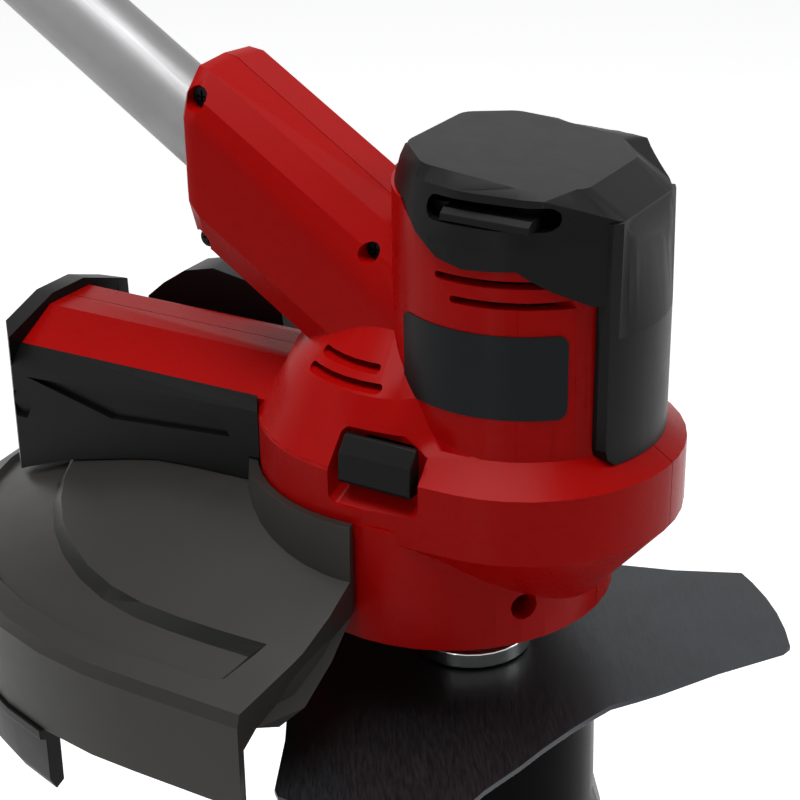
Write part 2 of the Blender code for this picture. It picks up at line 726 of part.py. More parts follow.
def guard_section(s, panel, flange):
    """One section through the guard wall; panel sinks the top, flange deepens the end rib."""
    outer = guard_rim(s)
    inner = guard_collar(s)
    reach = (outer - inner).length
    out = (outer - inner) / reach
    rear = math.sin(math.pi * s) ** 2
    crest = 0.046 + 0.014 * rear
    step = guard_rim(s, 0.080, 0.078)
    foot = inner + out * 0.0034
    band = outer - out * 0.0095

    def crown(point, drop=0.0):
        u = max((point - inner).dot(out) / reach, 0.0)
        return (point.x, point.y, crest - (crest - GUARD_EDGE) * u ** (1.2 + 0.6 * rear) - drop)

    sink = GUARD_SINK if panel else 0.0
    lip = inner + out * 0.0028
    top = [
        (inner.x, inner.y, COLLAR_LIP), (lip.x, lip.y, COLLAR_LIP), crown(foot), crown(foot.lerp(step, 0.5)),
        crown(step), crown(step + out * 0.003, sink), crown(step.lerp(band, 0.55), sink), crown(band, sink),
        crown(band + out * 0.0015), crown(outer - out * 0.0015), (outer.x, outer.y, GUARD_EDGE - 0.003),
        (outer.x, outer.y, GUARD_SKIRT),
    ]
    face = outer - out * GUARD_WALL
    floor = GUARD_WALL + GUARD_SINK
    under = [(face.x, face.y, GUARD_SKIRT), (face.x, face.y, GUARD_EDGE - 0.007 - 0.4 * flange)]
    under += [crown(band, floor + 0.6 * flange), crown(step.lerp(band, 0.55), floor + flange)]
    under += [crown(step, floor + flange), crown(foot.lerp(step, 0.5), floor + 0.8 * flange)]
    sleeve = inner + out * GUARD_WALL
    under += [crown(sleeve, floor + 0.5 * flange), (sleeve.x, sleeve.y, 0.034), (inner.x, inner.y, 0.034)]
    return top + under


def guard_stations():
    """Places of the guard's sections, each with its panel sunk or not and its end rib's depth."""
    rib = 0.010
    frame = 0.036
    depth = 0.012
    count = 24
    stations = [(0.0, False, depth), (rib, False, depth), (rib + 0.0005, False, 0.0)]
    stations += [(frame, False, 0.0), (frame + 0.010, True, 0.0)]
    inner = frame + 0.010
    stations += [(inner + (1 - 2 * inner) * k / count, True, 0.0) for k in range(1, count)]
    return stations + [(1 - s, panel, flange) for s, panel, flange in reversed(stations[:5])]


def guard_shell(head):
    """Moulded guard: collar round the gear case, domed top with a sunk panel, skirt and end ribs."""
    rings = [guard_section(*station) for station in guard_stations()]
    return place("guard", loft(rings), "guard_plastic", head)


def guard_extension(head):
    """Clip-on strip under the rear of the guard's skirt."""
    rings = []
    count = 18
    edge = GUARD_SKIRT - SEAT_GAP
    section = mm((-6, 2), (-6, -26), (-3, -28), (-1, -24), (-1, -9.5), (1.2, -8.5))
    section += [(0.0012, edge), (-GUARD_WALL - SEAT_GAP, edge), (-GUARD_WALL - SEAT_GAP, 0.002)]
    for k in range(count + 1):
        s = 0.20 + 0.60 * k / count
        ring = []
        for offset, z in section:
            point = guard_rim(s) + guard_out(s) * offset
            ring.append((point.x, point.y, z))
        rings.append(ring)
    return place("guard_extension", loft(rings), "black_plastic", head)


def guard_under(s):
    """Section of the space that the guard fills, with a thin gap over its top."""
    section = guard_section(s, False, 0.0)
    top = [(x, y, z + 2 * SEAT_GAP) for x, y, z in section[1:12]]
    inner = guard_collar(s)
    outer = guard_rim(s)
    core = inner - (outer - inner).normalized() * SEAT_GAP
    rim = (core.x, core.y, COLLAR_LIP + 2 * SEAT_GAP)
    return [rim, *top, (outer.x, outer.y, -0.02), (core.x, core.y, -0.02)]


def bracket_ring(x, outer, ridge_at, ridge, middle):
    """Upper limit of the bracket across the tail, from its outer wall to its middle."""
    side = [(BRACKET_HALF + 0.001, 0.020), (BRACKET_HALF + 0.001, outer), (ridge_at, ridge), (0.008, middle)]
    section = side + [(-y, z) for y, z in reversed(side)]
    return [(x, y, z) for y, z in section]


def guard_bracket(head):
    """Tray round the tail that carries the guard: two side walls, an arched rear wall and bolt bosses."""
    half = BRACKET_HALF
    front = -0.047
    plan = [
        (BRACKET_REAR, -half + 0.007), (BRACKET_REAR + 0.007, -half), (front, -half),
        (front, half), (BRACKET_REAR + 0.007, half), (BRACKET_REAR, half - 0.007),
    ]
    bracket = place("guard_bracket", prism(plan, 0.030, 0.0903), "black_plastic", head)
    edge = 0.0253
    walls = [
        bracket_ring(BRACKET_REAR - 0.002, 0.0820, 0.0295, 0.0830, 0.0903),
        bracket_ring(TAIL_REAR - 0.0003, 0.0820, 0.0295, 0.0830, 0.0903),
        bracket_ring(TAIL_REAR - 0.0001, 0.0720, edge, 0.0792, 0.0793),
        bracket_ring(-0.0400, 0.0785, edge, 0.0813, 0.0814),
    ]
    combine(bracket, tool("bracket_top_form", loft(walls), head), "INTERSECT")
    hump = mm((-142, 60), (-140, 80), (-133, 86), (-124, 92), (-112, 95), (-98, 93), (-85, 84), (-82, 60))
    join(bracket, "bracket_hump", slab(hump, 0.0262, 0.0395), head)
    room = [tail_ring(x, SEAT_GAP, 0.02) for x in (TAIL_REAR - SEAT_GAP, -0.030)]
    cut(bracket, "bracket_room", loft(room), head)
    case = egg(LOBE_X, LOBE + 0.0004 + SEAT_GAP, -0.006, 0.0498)
    cut(bracket, "bracket_case_clearance", prism(case, 0.02, 0.12), head)
    for side, word in SIDES:
        pocket = mm((-146, 70.5), (-70, 75), (-66, 68), (-112, 63.5))
        cut(bracket, f"bracket_pocket_{word}", slab(pocket, *span(side, 0.0290, 0.042)), head)
        boss = polygon(0.0052, 6, -0.1500, 0.0600)
        cut(bracket, f"bracket_hex_{word}", slab(boss, *span(side, 0.0285, 0.042)), head)
    under = [guard_under(station[0]) for station in guard_stations()]
    return cut(bracket, "guard_clearance", loft(under), head)


# The shaft and what it carries

def shaft_tube(shaft):
    """One straight aluminium tube from the head's clamp to the rear grip."""
    front = EYE_TO_CLAMP + CLAMP_LENGTH
    rear = GRIP_START - TUBE_IN_GRIP
    body = tube(TUBE_RADIUS, TUBE_RADIUS - TUBE_WALL, rear, front, 28, "X")
    place("shaft_tube", body, "tube_aluminium", shaft)


def harness_collar(shaft):
    """Two-lug collar on the shaft with the harness eye standing over it."""
    body = tube(0.0185, TUBE_RADIUS + SEAT_GAP, -0.012, 0.012, 24, "X", 0.0015)
    collar = place("harness_collar", body, "black_plastic", shaft)
    turns = [math.radians(180 * k / 10) for k in range(11)]
    web = [(-0.0125, 0.0140), (0.0125, 0.0140)]
    web += [(0.0125 * math.cos(a), EYE_HEIGHT + 0.0125 * math.sin(a)) for a in turns]
    combine(collar, tool("eye_web", slab(web, -0.0032, 0.0032), shaft), "UNION")
    hole = shift(drum(0.0078, -0.01, 0.01, 20, "Y"), 0, 0, EYE_HEIGHT)
    return combine(collar, tool("eye_hole", hole, shaft))


def bent_bar(name, route, radius, resolution, material, parent):
    """A round bar along a route: a bevelled curve with filled caps, turned into a mesh."""
    curve = bpy.data.curves.new(name + "_route", "CURVE")
    curve.dimensions = "3D"
    spline = curve.splines.new("POLY")
    spline.points.add(len(route) - 1)
    for point, spot in zip(spline.points, route):
        point.co = (*spot, 1.0)
    curve.bevel_depth = radius
    curve.bevel_resolution = resolution
    curve.use_fill_caps = True
    source = bpy.data.objects.new(name + "_bar", curve)
    bpy.context.collection.objects.link(source)
    depsgraph = bpy.context.evaluated_depsgraph_get()
    mesh = bpy.data.meshes.new_from_object(source.evaluated_get(depsgraph))
    bpy.data.objects.remove(source, do_unlink=True)
    bm = bmesh.new()
    bm.from_mesh(mesh)
    bpy.data.meshes.remove(mesh)
    return place(name, close_up(bm), material, parent)


def loop_route(reach=140, count=22):
    """Middle line of the loop over the shaft, from the right foot to the left foot."""
    points = []
    for k in range(count + 1):
        a = math.radians(reach * (2 * k / count - 1))
        z = LOOP_MIDDLE + LOOP_RISE * math.cos(a)
        points.append((LOOP_LEAN * z, LOOP_HALF * math.sin(a), z))
    return points


def loop_clamp(shaft):
    """Clamp halves round the tube, the cross bolt and its knob."""
    at = (LOOP_AT, 0, 0)
    over = rounded([(-0.017, SEAT_GAP), (0.017, SEAT_GAP), (0.013, 0.032), (-0.013, 0.032)], 0.003)
    below = rounded([(-0.013, -0.022), (0.013, -0.022), (0.017, -SEAT_GAP), (-0.017, -SEAT_GAP)], 0.003)
    for word, outline in (("upper", over), ("lower", below)):
        half = place(f"handle_clamp_{word}", slab(outline, -0.024, 0.024), "black_plastic", shaft, at)
        bore = drum(TUBE_RADIUS + SEAT_GAP, -0.03, 0.03, 24, "X")
        combine(half, tool(f"handle_bore_{word}", bore, shaft, at))
        if word == "upper":
            hole = shift(drum(LOOP_BOLT + SEAT_GAP, -0.05, 0.05, 16, "Y"), 0, 0, LOOP_PIVOT)
            combine(half, tool("clamp_bolt_hole", hole, shaft, at))
    pivot = holder("loop_axis", (LOOP_AT, 0, LOOP_PIVOT), parent=shaft)
    bolt = [
        (0, -0.0480), (LOOP_BOLT, -0.0480), (LOOP_BOLT, 0.0330), (0.0075, 0.0330), (0.0075, 0.0375),
        (0.0066, 0.0385), (0, 0.0385),
    ]
    place("clamp_bolt", revolve(bolt, 16, "Y"), "bright_steel", pivot)
    lobes = 36
    star = []
    for k in range(lobes):
        a = 2 * math.pi * k / lobes
        r = 0.0135 + 0.0014 * math.cos(6 * a)
        star.append((r * math.cos(a), r * math.sin(a)))
    core = [(x * 0.86, z * 0.86) for x, z in star]
    stages = ((core, -0.0550), (star, -0.0525), (star, -0.0400), (core, -0.0331))
    rings = [[(x, y, z) for x, z in shape] for shape, y in stages]
    knob = place("clamp_knob", loft(rings), "black_plastic", pivot)
    combine(knob, tool("knob_bore", drum(LOOP_BOLT + SEAT_GAP, -0.0486, -0.030, 16, "Y"), pivot))
    return pivot


def loop_handle(pivot):
    """Bent loop with two feet that pivot on the clamp bolt, and a soft grip over its crown."""
    loop = bent_bar("loop_handle", loop_route(), LOOP_BAR, 2, "black_plastic", pivot)
    for side, word in SIDES:
        outline = rounded([(-0.012, -0.012), (0.012, -0.012), (0.022, 0.058), (0.004, 0.058)], 0.007)
        foot = slab(outline, *span(side, 0.0245, 0.0325))
        combine(loop, tool(f"loop_foot_{word}", foot, pivot), "UNION")
        arm = rounded([(0.000, 0.026), (0.015, 0.026), (0.020, 0.060), (0.006, 0.060)], 0.004)
        bridge = slab(arm, *span(side, 0.0300, 0.0560))
        combine(loop, tool(f"loop_bridge_{word}", bridge, pivot), "UNION")
    combine(loop, tool("loop_bolt_hole", drum(LOOP_BOLT + SEAT_GAP, -0.06, 0.06, 16, "Y"), pivot))
    route = loop_route()
    sleeve = bent_bar("loop_grip", route[6:-6], LOOP_BAR + 0.0030, 2, "soft_grip", pivot)
    core = bent_bar("loop_grip_core", route[5:-5], LOOP_BAR + SEAT_GAP, 2, None, pivot)
    combine(sleeve, hidden(core))


# The rear grip and the battery

def pod_ring(x, half, top, bottom, power, grow=0.0, steps=24):
    """One rounded section of the rear housing across the shaft."""
    middle = (top + bottom) / 2
    rise = (top - bottom) / 2 + grow
    ring = []
    for k in range(steps):
        a = 2 * math.pi * (k + 0.5) / steps
        y = math.copysign(abs(math.cos(a)) ** (2 / power), math.cos(a)) * (half + grow)
        z = math.copysign(abs(math.sin(a)) ** (2 / power), math.sin(a)) * rise
        ring.append((x, y, middle + z))
    return ring


REAR_SECTIONS = [
    (-0.130, 0.0175, 0.0175, -0.0175, 2.0), (-0.134, 0.0205, 0.0205, -0.0205, 2.0),
    (-0.165, 0.0215, 0.0225, -0.0225, 2.2), (-0.185, 0.0225, 0.0240, -0.0250, 2.4),
    (-0.204, 0.0185, 0.0212, -0.0205, 2.4), (-0.250, 0.0175, 0.0205, -0.0195, 2.3),
    (-0.291, 0.0180, 0.0210, -0.0200, 2.4), (-0.303, 0.0270, 0.0290, -0.0310, 3.0),
    (-0.318, 0.0370, 0.0380, -0.0440, 4.0), (-0.375, 0.0380, 0.0390, -0.0450, 4.5),
]


def rear_shells(shaft):
    """Right and left shell of the rear grip with the battery rails on their rear face."""
    form = tool("rear_form", loft([pod_ring(*section) for section in REAR_SECTIONS]), shaft)
    rail = mm((-374.5, 28.5), (-374.5, 33.5), (-385.5, 33.5), (-385.5, 25), (-382.5, 25), (-382.5, 28.5))
    for side, word in SIDES:
        outline = [(x, side * y) for x, y in rail]
        combine(form, tool(f"battery_rail_{word}", prism(outline, -0.040, 0.034), shaft), "UNION")
    inner = [pod_ring(*section, grow=-SHELL_WALL) for section in REAR_SECTIONS[4:]]
    first = REAR_SECTIONS[3]
    start = pod_ring(-0.1925, *first[1:], grow=-0.0038)
    end = pod_ring(-0.3722, *REAR_SECTIONS[-1][1:], grow=-SHELL_WALL)
    hollow = tool("rear_hollow", loft([start, *inner[:-1], end]), shaft)
    bore_form = drum(TUBE_RADIUS + SEAT_GAP, GRIP_START - 0.0625, GRIP_START + 0.01, 24, "X")
    bore = tool("rear_bore", bore_form, shaft)
    cuts = [
        hollow, bore,
        tool("trigger_slot", box(-0.2368, -0.1920, -0.0068, 0.0068, -0.040, -0.010), shaft),
        tool("lock_off_slot", box(-0.2535, -0.2085, -0.0061, 0.0061, 0.008, 0.035), shaft),
        tool("speed_hole", shift(drum(0.0070, 0.030, 0.045, 20), SPEED_AT), shaft),
        tool("terminal_window", box(-0.380, -0.365, -0.0165, 0.0165, -0.0158, 0.0098), shaft),
        tool("trigger_pin_hole", shift(drum(PIN_BORE, -0.0170, 0.0170, 12, "Y"), *TRIGGER_PIVOT), shaft),
        tool("lock_off_pin_hole", shift(drum(PIN_BORE, -0.0138, 0.0138, 12, "Y"), *LOCK_OFF_PIVOT), shaft),
    ]
    for side, word in SIDES:
        half = box(-0.45, -0.10, *span(side, SEAT_GAP / 2, 0.080), -0.10, 0.10)
        shell = place(f"rear_housing_{word}", half, "red_plastic", shaft)
        combine(shell, form, "INTERSECT")
        for form_cut in cuts:
            combine(shell, form_cut)


def grip_cover(shaft):
    """Soft cover round the grip, open for the trigger and the lock-off lever."""
    sections = REAR_SECTIONS[4:7]
    mouth = sections[0][1:]
    outer = [pod_ring(-0.2055, *mouth, grow=0.0006), pod_ring(-0.2085, *mouth, grow=0.0020)]
    outer += [pod_ring(*sections[1], grow=0.0022), pod_ring(-0.2860, *sections[2][1:], grow=0.0020)]
    outer.append(pod_ring(-0.2890, *sections[2][1:], grow=0.0006))
    cover = place("grip_cover", loft(outer), "soft_grip", shaft)
    cut(cover, "grip_cover_room", loft([pod_ring(*section, grow=SEAT_GAP) for section in sections]), shaft)
    cut(cover, "cover_trigger_slot", box(-0.2385, -0.1900, -0.0080, 0.0080, -0.040, -0.010), shaft)
    cut(cover, "cover_lock_off_slot", box(-0.2555, -0.2000, -0.0075, 0.0075, 0.008, 0.035), shaft)


def controls(shaft):
    """Trigger and lock-off lever on their pins, the speed button, switch module and control board."""
    trigger_axis = holder("trigger_axis", TRIGGER_PIVOT, parent=shaft)
    outline = [
        (0.0045, 0.0040), (0.0050, -0.0045), (0.0015, -0.0205), (-0.0030, -0.0260), (-0.0100, -0.0250),
        (-0.0170, -0.0205), (-0.0290, -0.0180), (-0.0350, -0.0135), (-0.0365, -0.0035), (-0.0270, -0.0005),
        (-0.0070, 0.0050),
    ]
    trigger = place("trigger", slab(outline, -0.0062, 0.0062), "black_plastic", trigger_axis)
    cut(trigger, "trigger_bore", drum(PIN_BORE, -0.02, 0.02, 12, "Y"), trigger_axis)
    place("trigger_pin", drum(PIN_RADIUS, -0.0167, 0.0167, 12, "Y"), "bright_steel", trigger_axis)
    lock_axis = holder("lock_off_axis", LOCK_OFF_PIVOT, parent=shaft)
    outline = [
        (-0.0050, -0.0040), (-0.0050, 0.0035), (0.0020, 0.0100), (0.0170, 0.0137), (0.0320, 0.0133),
        (0.0365, 0.0090), (0.0360, 0.0025), (0.0270, -0.0010), (0.0050, -0.0045),
    ]
    lever = place("lock_off_lever", slab(outline, -0.0055, 0.0055), "red_plastic", lock_axis)
    cut(lever, "lock_off_bore", drum(PIN_BORE, -0.02, 0.02, 12, "Y"), lock_axis)
    place("lock_off_pin", drum(PIN_RADIUS, -0.0135, 0.0135, 12, "Y"), "bright_steel", lock_axis)
    button = revolve([(0, 0.0300), (0.0066, 0.0300), (0.0066, 0.0398), (0.0056, 0.0408), (0, 0.0400)], 20)
    place("speed_button", shift(button, SPEED_AT), "black_plastic", shaft)
    case = box(-0.2870, -0.2580, -0.0095, 0.0095, -0.0125, 0.0075)
    switch = place("switch_module", case, "black_plastic", shaft)
    join(switch, "switch_nose", box(-0.2590, -0.2270, -0.0040, 0.0040, -0.0015, 0.0030), shaft)
    sheet = box(-0.3680, -0.3120, -0.0280, 0.0280, 0.0140, 0.0156)
    board = place("control_board", sheet, "board_green", shaft)
    join(board, "heat_sink", box(-0.3500, -0.3240, -0.0120, 0.0120, 0.0040, 0.0145), shaft)
    capacitor = shift(drum(0.0050, 0.0150, 0.0270, 16), -0.3580, 0.0170)
    join(board, "capacitor", capacitor, shaft)
    holder_form = box(-0.3748, -0.3630, -0.0160, 0.0160, -0.0153, 0.0093)
    block = place("terminal_block", holder_form, "black_plastic", shaft)
    for n, y in enumerate(TERMINALS):
        blade = box(-0.3812, -0.3700, y - 0.0004, y + 0.0004, -0.0120, 0.0060)
        join(block, f"terminal_{n}", blade, shaft)


def pack_ring(x, inset=0.0):
    """One rounded section of the battery case, drawn in by inset."""
    half = PACK_HALF - inset
    corners = rectangle(-half, half, PACK_LOW + inset, PACK_HIGH - inset, 0.006 - inset, 3)
    return [(x, y, z) for y, z in corners]


def battery(shaft):
    """Slide-on battery: front case with its rail tongue, rear case, cell block and latch."""
    slide = holder("battery_axis", parent=shaft)
    front_form = loft([pack_ring(PACK_FRONT, 0.001), pack_ring(-0.3875), pack_ring(PACK_SPLIT)])
    front = place("battery_front_case", front_form, "black_plastic", slide)
    tongue = [(-0.3756, 0.0280), (-0.3818, 0.0280), (-0.3818, 0.0244), (-0.3880, 0.0244)]
    outline = [*tongue, *[(x, -y) for x, y in reversed(tongue)]]
    join(front, "battery_tongue", prism(outline, -0.041, 0.0335), slide)
    cut(front, "front_case_room", loft([pack_ring(-0.3890, PACK_WALL), pack_ring(-0.4200, PACK_WALL)]), slide)
    for n, y in enumerate(TERMINALS):
        groove = box(-0.3825, -0.3740, y - 0.0012, y + 0.0012, -0.0450, 0.0080)
        cut(front, f"terminal_groove_{n}", groove, slide)
    cut(front, "latch_recess", box(-0.3950, -0.3800, -0.0124, 0.0124, 0.0346, 0.0500), slide)
    rear_form = loft([pack_ring(PACK_SPLIT - SEAT_GAP), pack_ring(-0.4480), pack_ring(PACK_REAR, 0.005)])
    back = place("battery_rear_case", rear_form, "black_plastic", slide)
    cut(back, "rear_case_room", loft([pack_ring(-0.4000, PACK_WALL), pack_ring(-0.4490, PACK_WALL)]), slide)
    cell_block(slide)
    outline = [
        (-0.3890, 0.0445), (-0.3758, 0.0445), (-0.3758, 0.0385), (-0.3778, 0.0350), (-0.3890, 0.0350),
    ]
    place("battery_latch", slab(outline, -0.0120, 0.0120), "red_plastic", slide)


def cell_block(slide):
    """Two rows of five cells held in a cage."""
    cells = None
    for row in (-0.4055, -0.4239):
        for n in range(5):
            cell = shift(drum(CELL_RADIUS, -0.0325, 0.0325, 12, "Y"), row, 0, -0.0420 + CELL_PITCH * n)
            if cells is None:
                cells = place("cell_block", cell, "cell_blue", slide)
            else:
                join(cells, f"cell_{n}_{row}", cell, slide)
    join(cells, "cell_cage", box(-0.4200, -0.4100, -0.0300, 0.0300, -0.0450, 0.0340), slide)


def build():
    clear_scene()
    clamp_point = Vector((CLAMP_REAR, 0, axis_height(CLAMP_REAR)))
    along = Vector((math.cos(SHAFT_ANGLE), 0, -math.sin(SHAFT_ANGLE)))
    lift = Vector((math.sin(SHAFT_ANGLE), 0, math.cos(SHAFT_ANGLE))) * EYE_HEIGHT
    head_place = -(clamp_point - along * EYE_TO_CLAMP + lift)
    head = holder("head_frame", head_place)
    shaft = holder("shaft_frame", -lift, SHAFT_ANGLE)
    housing_shells(head)
    motor_cap(head)
    intake_screen(head)
    lock_button(head)
    cutting_set(drive_train(head))
    guard_shell(head)
    guard_extension(head)
    guard_bracket(head)
    shaft_tube(shaft)
    harness_collar(shaft)
    loop_handle(loop_clamp(shaft))
    rear_shells(shaft)
    grip_cover(shaft)
    controls(shaft)
    battery(shaft)


build()
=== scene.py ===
"""Looks of the cordless brush cutter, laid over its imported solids."""

import json
import math

import bmesh
import bpy
from mathutils import Matrix, Vector

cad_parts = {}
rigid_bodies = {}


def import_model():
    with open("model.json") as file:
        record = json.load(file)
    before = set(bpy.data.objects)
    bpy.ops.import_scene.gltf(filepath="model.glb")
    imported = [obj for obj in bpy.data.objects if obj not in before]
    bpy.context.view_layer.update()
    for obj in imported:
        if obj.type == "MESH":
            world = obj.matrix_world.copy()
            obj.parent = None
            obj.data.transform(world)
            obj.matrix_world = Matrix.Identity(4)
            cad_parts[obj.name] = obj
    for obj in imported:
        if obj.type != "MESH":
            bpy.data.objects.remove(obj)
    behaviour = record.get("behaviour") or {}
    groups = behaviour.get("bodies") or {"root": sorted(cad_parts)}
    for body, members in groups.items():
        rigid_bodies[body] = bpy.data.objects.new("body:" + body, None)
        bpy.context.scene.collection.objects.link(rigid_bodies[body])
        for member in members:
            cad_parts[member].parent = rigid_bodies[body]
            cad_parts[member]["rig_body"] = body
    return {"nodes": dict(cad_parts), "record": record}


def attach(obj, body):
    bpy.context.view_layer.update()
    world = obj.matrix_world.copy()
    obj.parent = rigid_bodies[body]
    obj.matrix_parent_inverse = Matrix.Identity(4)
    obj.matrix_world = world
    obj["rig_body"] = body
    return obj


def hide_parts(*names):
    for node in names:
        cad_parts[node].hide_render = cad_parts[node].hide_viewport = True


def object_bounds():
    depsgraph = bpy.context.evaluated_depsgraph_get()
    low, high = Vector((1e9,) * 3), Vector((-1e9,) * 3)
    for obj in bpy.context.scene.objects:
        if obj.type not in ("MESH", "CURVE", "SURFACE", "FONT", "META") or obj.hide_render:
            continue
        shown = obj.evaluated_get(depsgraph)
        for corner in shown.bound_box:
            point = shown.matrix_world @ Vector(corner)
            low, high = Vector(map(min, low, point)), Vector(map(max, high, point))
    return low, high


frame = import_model()
cad_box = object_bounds()


# The studio. A long lens sees the head from its right front, a little from above, on white
# paper, with soft boxes above it, on both sides and low in front. Places on the head count
# from the blade's centre, which lies where the blade's joint has its axis.

CAMERA_AZIMUTH = math.radians(31.31)
CAMERA_ELEVATION = math.radians(24.582)
CAMERA_ROLL = math.radians(-0.796)
CAMERA_PLACE = (0.257385, -0.463299, 0.325283)
LENS_MM = 88.584
SENSOR_MM = 36.0
NEAREST = 0.02

AMBIENT = 0.17
PAPER_WHITE = 0.86
PAPER_GLOW = 0.75
FLOOR_DROP = 0.30
FLOOR_HALF = 9.0
FLOOR_CENTRE = 0.4

joints = {joint["name"]: joint for joint in frame["record"]["behaviour"]["joints"]}
HEAD = Vector(joints["blade_spin"]["pos_m"])


def at_head(x, y, z):
    return HEAD + Vector((x, y, z))


def add(tree, kind, settings=None, values=None, **links):
    """One node with its settings, its values, and its links by input name, or by _ and number."""
    node = tree.nodes.new(kind)
    for key, value in (settings or {}).items():
        setattr(node, key, value)
    for key, value in (values or {}).items():
        node.inputs[key].default_value = value
    for key, source in links.items():
        socket = node.inputs[int(key[1:])] if key[0] == "_" else node.inputs[key.replace("_", " ")]
        tree.links.new(source, socket)
    return node


def tone(text):
    """An sRGB hex colour as linear red, green, blue and alpha."""
    parts = [int(text[k:k + 2], 16) / 255 for k in (1, 3, 5)]
    return (*[p / 12.92 if p <= 0.04045 else ((p + 0.055) / 1.055) ** 2.4 for p in parts], 1.0)


def seeing_rays(tree):
    """One for rays from the camera and off metal and glass, which see plain white, and none for light."""
    rays = add(tree, "ShaderNodeLightPath")
    looks = add(tree, "ShaderNodeMath", {"operation": "MAXIMUM"},
                _0=rays.outputs["Is Camera Ray"], _1=rays.outputs["Is Glossy Ray"])
    seen = add(tree, "ShaderNodeMath", {"operation": "MAXIMUM"},
               _0=looks.outputs[0], _1=rays.outputs["Is Transmission Ray"])
    return seen.outputs[0]


back = Vector((
    math.sin(CAMERA_AZIMUTH) * math.cos(CAMERA_ELEVATION),
    -math.cos(CAMERA_AZIMUTH) * math.cos(CAMERA_ELEVATION),
    math.sin(CAMERA_ELEVATION),
))
level_right = Vector((math.cos(CAMERA_AZIMUTH), math.sin(CAMERA_AZIMUTH), 0))
level_up = back.cross(level_right)
right = level_right * math.cos(CAMERA_ROLL) + level_up * math.sin(CAMERA_ROLL)
up = level_up * math.cos(CAMERA_ROLL) - level_right * math.sin(CAMERA_ROLL)
camera_data = bpy.data.cameras.new("studio_camera")
camera_data.lens = LENS_MM
camera_data.sensor_width = SENSOR_MM
camera_data.clip_start = NEAREST
camera = bpy.data.objects.new("studio_camera", camera_data)
camera.matrix_world = Matrix((right, up, back)).transposed().to_4x4()
camera.location = at_head(*CAMERA_PLACE)
bpy.context.collection.objects.link(camera)
bpy.context.scene.camera = camera
bpy.context.scene.view_settings.view_transform = "Standard"

world = bpy.data.worlds.new("studio")
bpy.context.scene.world = world
world.use_nodes = True
tree = world.node_tree
tree.nodes.clear()
ambient = add(tree, "ShaderNodeBackground", values={"Color": tone("#f4f6f8"), "Strength": AMBIENT})
white = add(tree, "ShaderNodeBackground", values={"Color": (1, 1, 1, 1), "Strength": 1.0})
mixed = add(tree, "ShaderNodeMixShader", _0=seeing_rays(tree), _1=ambient.outputs[0], _2=white.outputs[0])
add(tree, "ShaderNodeOutputWorld", Surface=mixed.outputs[0])

floor_mesh = bmesh.new()
bmesh.ops.create_grid(floor_mesh, x_segments=1, y_segments=1, size=FLOOR_HALF)
floor_data = bpy.data.meshes.new("floor")
floor_mesh.to_mesh(floor_data)
floor_mesh.free()
floor_data.transform(Matrix.Translation(Vector((FLOOR_CENTRE, 0, cad_box[0].z - FLOOR_DROP))))
floor = bpy.data.objects.new("floor", floor_data)
bpy.context.collection.objects.link(floor)

# Matt white paper: it takes the tool's shadow, and reads as plain white round it.
floor_paint = bpy.data.materials.new("white_studio_floor")
floor_paint.use_nodes = True
tree = floor_paint.node_tree
tree.nodes.clear()
paper = add(tree, "ShaderNodeBsdfDiffuse", values={"Color": (PAPER_WHITE, PAPER_WHITE, PAPER_WHITE, 1)})
glow = add(tree, "ShaderNodeEmission", values={"Color": (1, 1, 1, 1), "Strength": PAPER_GLOW})
both = add(tree, "ShaderNodeAddShader", _0=paper.outputs[0], _1=glow.outputs[0])
mixed = add(tree, "ShaderNodeMixShader", _0=seeing_rays(tree), _1=paper.outputs[0], _2=both.outputs[0])
add(tree, "ShaderNodeOutputMaterial", Surface=mixed.outputs[0])
floor_data.materials.append(floor_paint)


def softbox(name, place, aim, width, height, power):
    """A rectangular lamp behind diffusing cloth, turned to its aim and out of the camera's sight."""
    lamp = bpy.data.lights.new(name, "AREA")
    lamp.shape = "RECTANGLE"
    lamp.size = width
    lamp.size_y = height
    lamp.energy = power
    item = bpy.data.objects.new(name, lamp)
    item.location = place
    item.rotation_euler = (place - aim).to_track_quat("Z", "Y").to_euler()
    item.visible_camera = False
    bpy.context.collection.objects.link(item)


housing_middle = at_head(0, 0, 0.06)
ring_front = at_head(0.03, 0, 0.08)
softbox("overhead_box", at_head(-0.15, -0.25, 1.55), housing_middle, width=0.9, height=0.9, power=16)
softbox("left_box", at_head(-1.25, -1.15, 0.75), housing_middle, width=0.5, height=1.2, power=2.4)
softbox("front_strip", at_head(0.04, -0.90, 0.08), ring_front, width=0.05, height=0.84, power=0.5)
softbox("rim_box", at_head(1.35, 0.75, 0.85), housing_middle, width=0.6, height=1.1, power=7)


# The head housing: two shells of red ABS, injection moulded and screwed together on the
# middle plane. The motor body is round above its shoulder. The solids have eight flats
# there, so their copies are cut in upright strips and brought onto the round wall.

MERGE = 2e-6
FLAT_WITHIN = math.radians(0.6)
CREASE = 30
EASED_STEPS = 2
MOTOR_AXIS = 0.0172
BARREL = 0.0372
SHOULDER = 0.0848
SHOULDER_RADIUS = 0.0376
STRIP = math.radians(5)
ON_PLANE = 1e-7

# Where a wall's faces lie about the motor's axis: lowest, highest, inner and outer radius.
BODY_WALL = (0.080, 0.160, 0.0362, 0.0400)


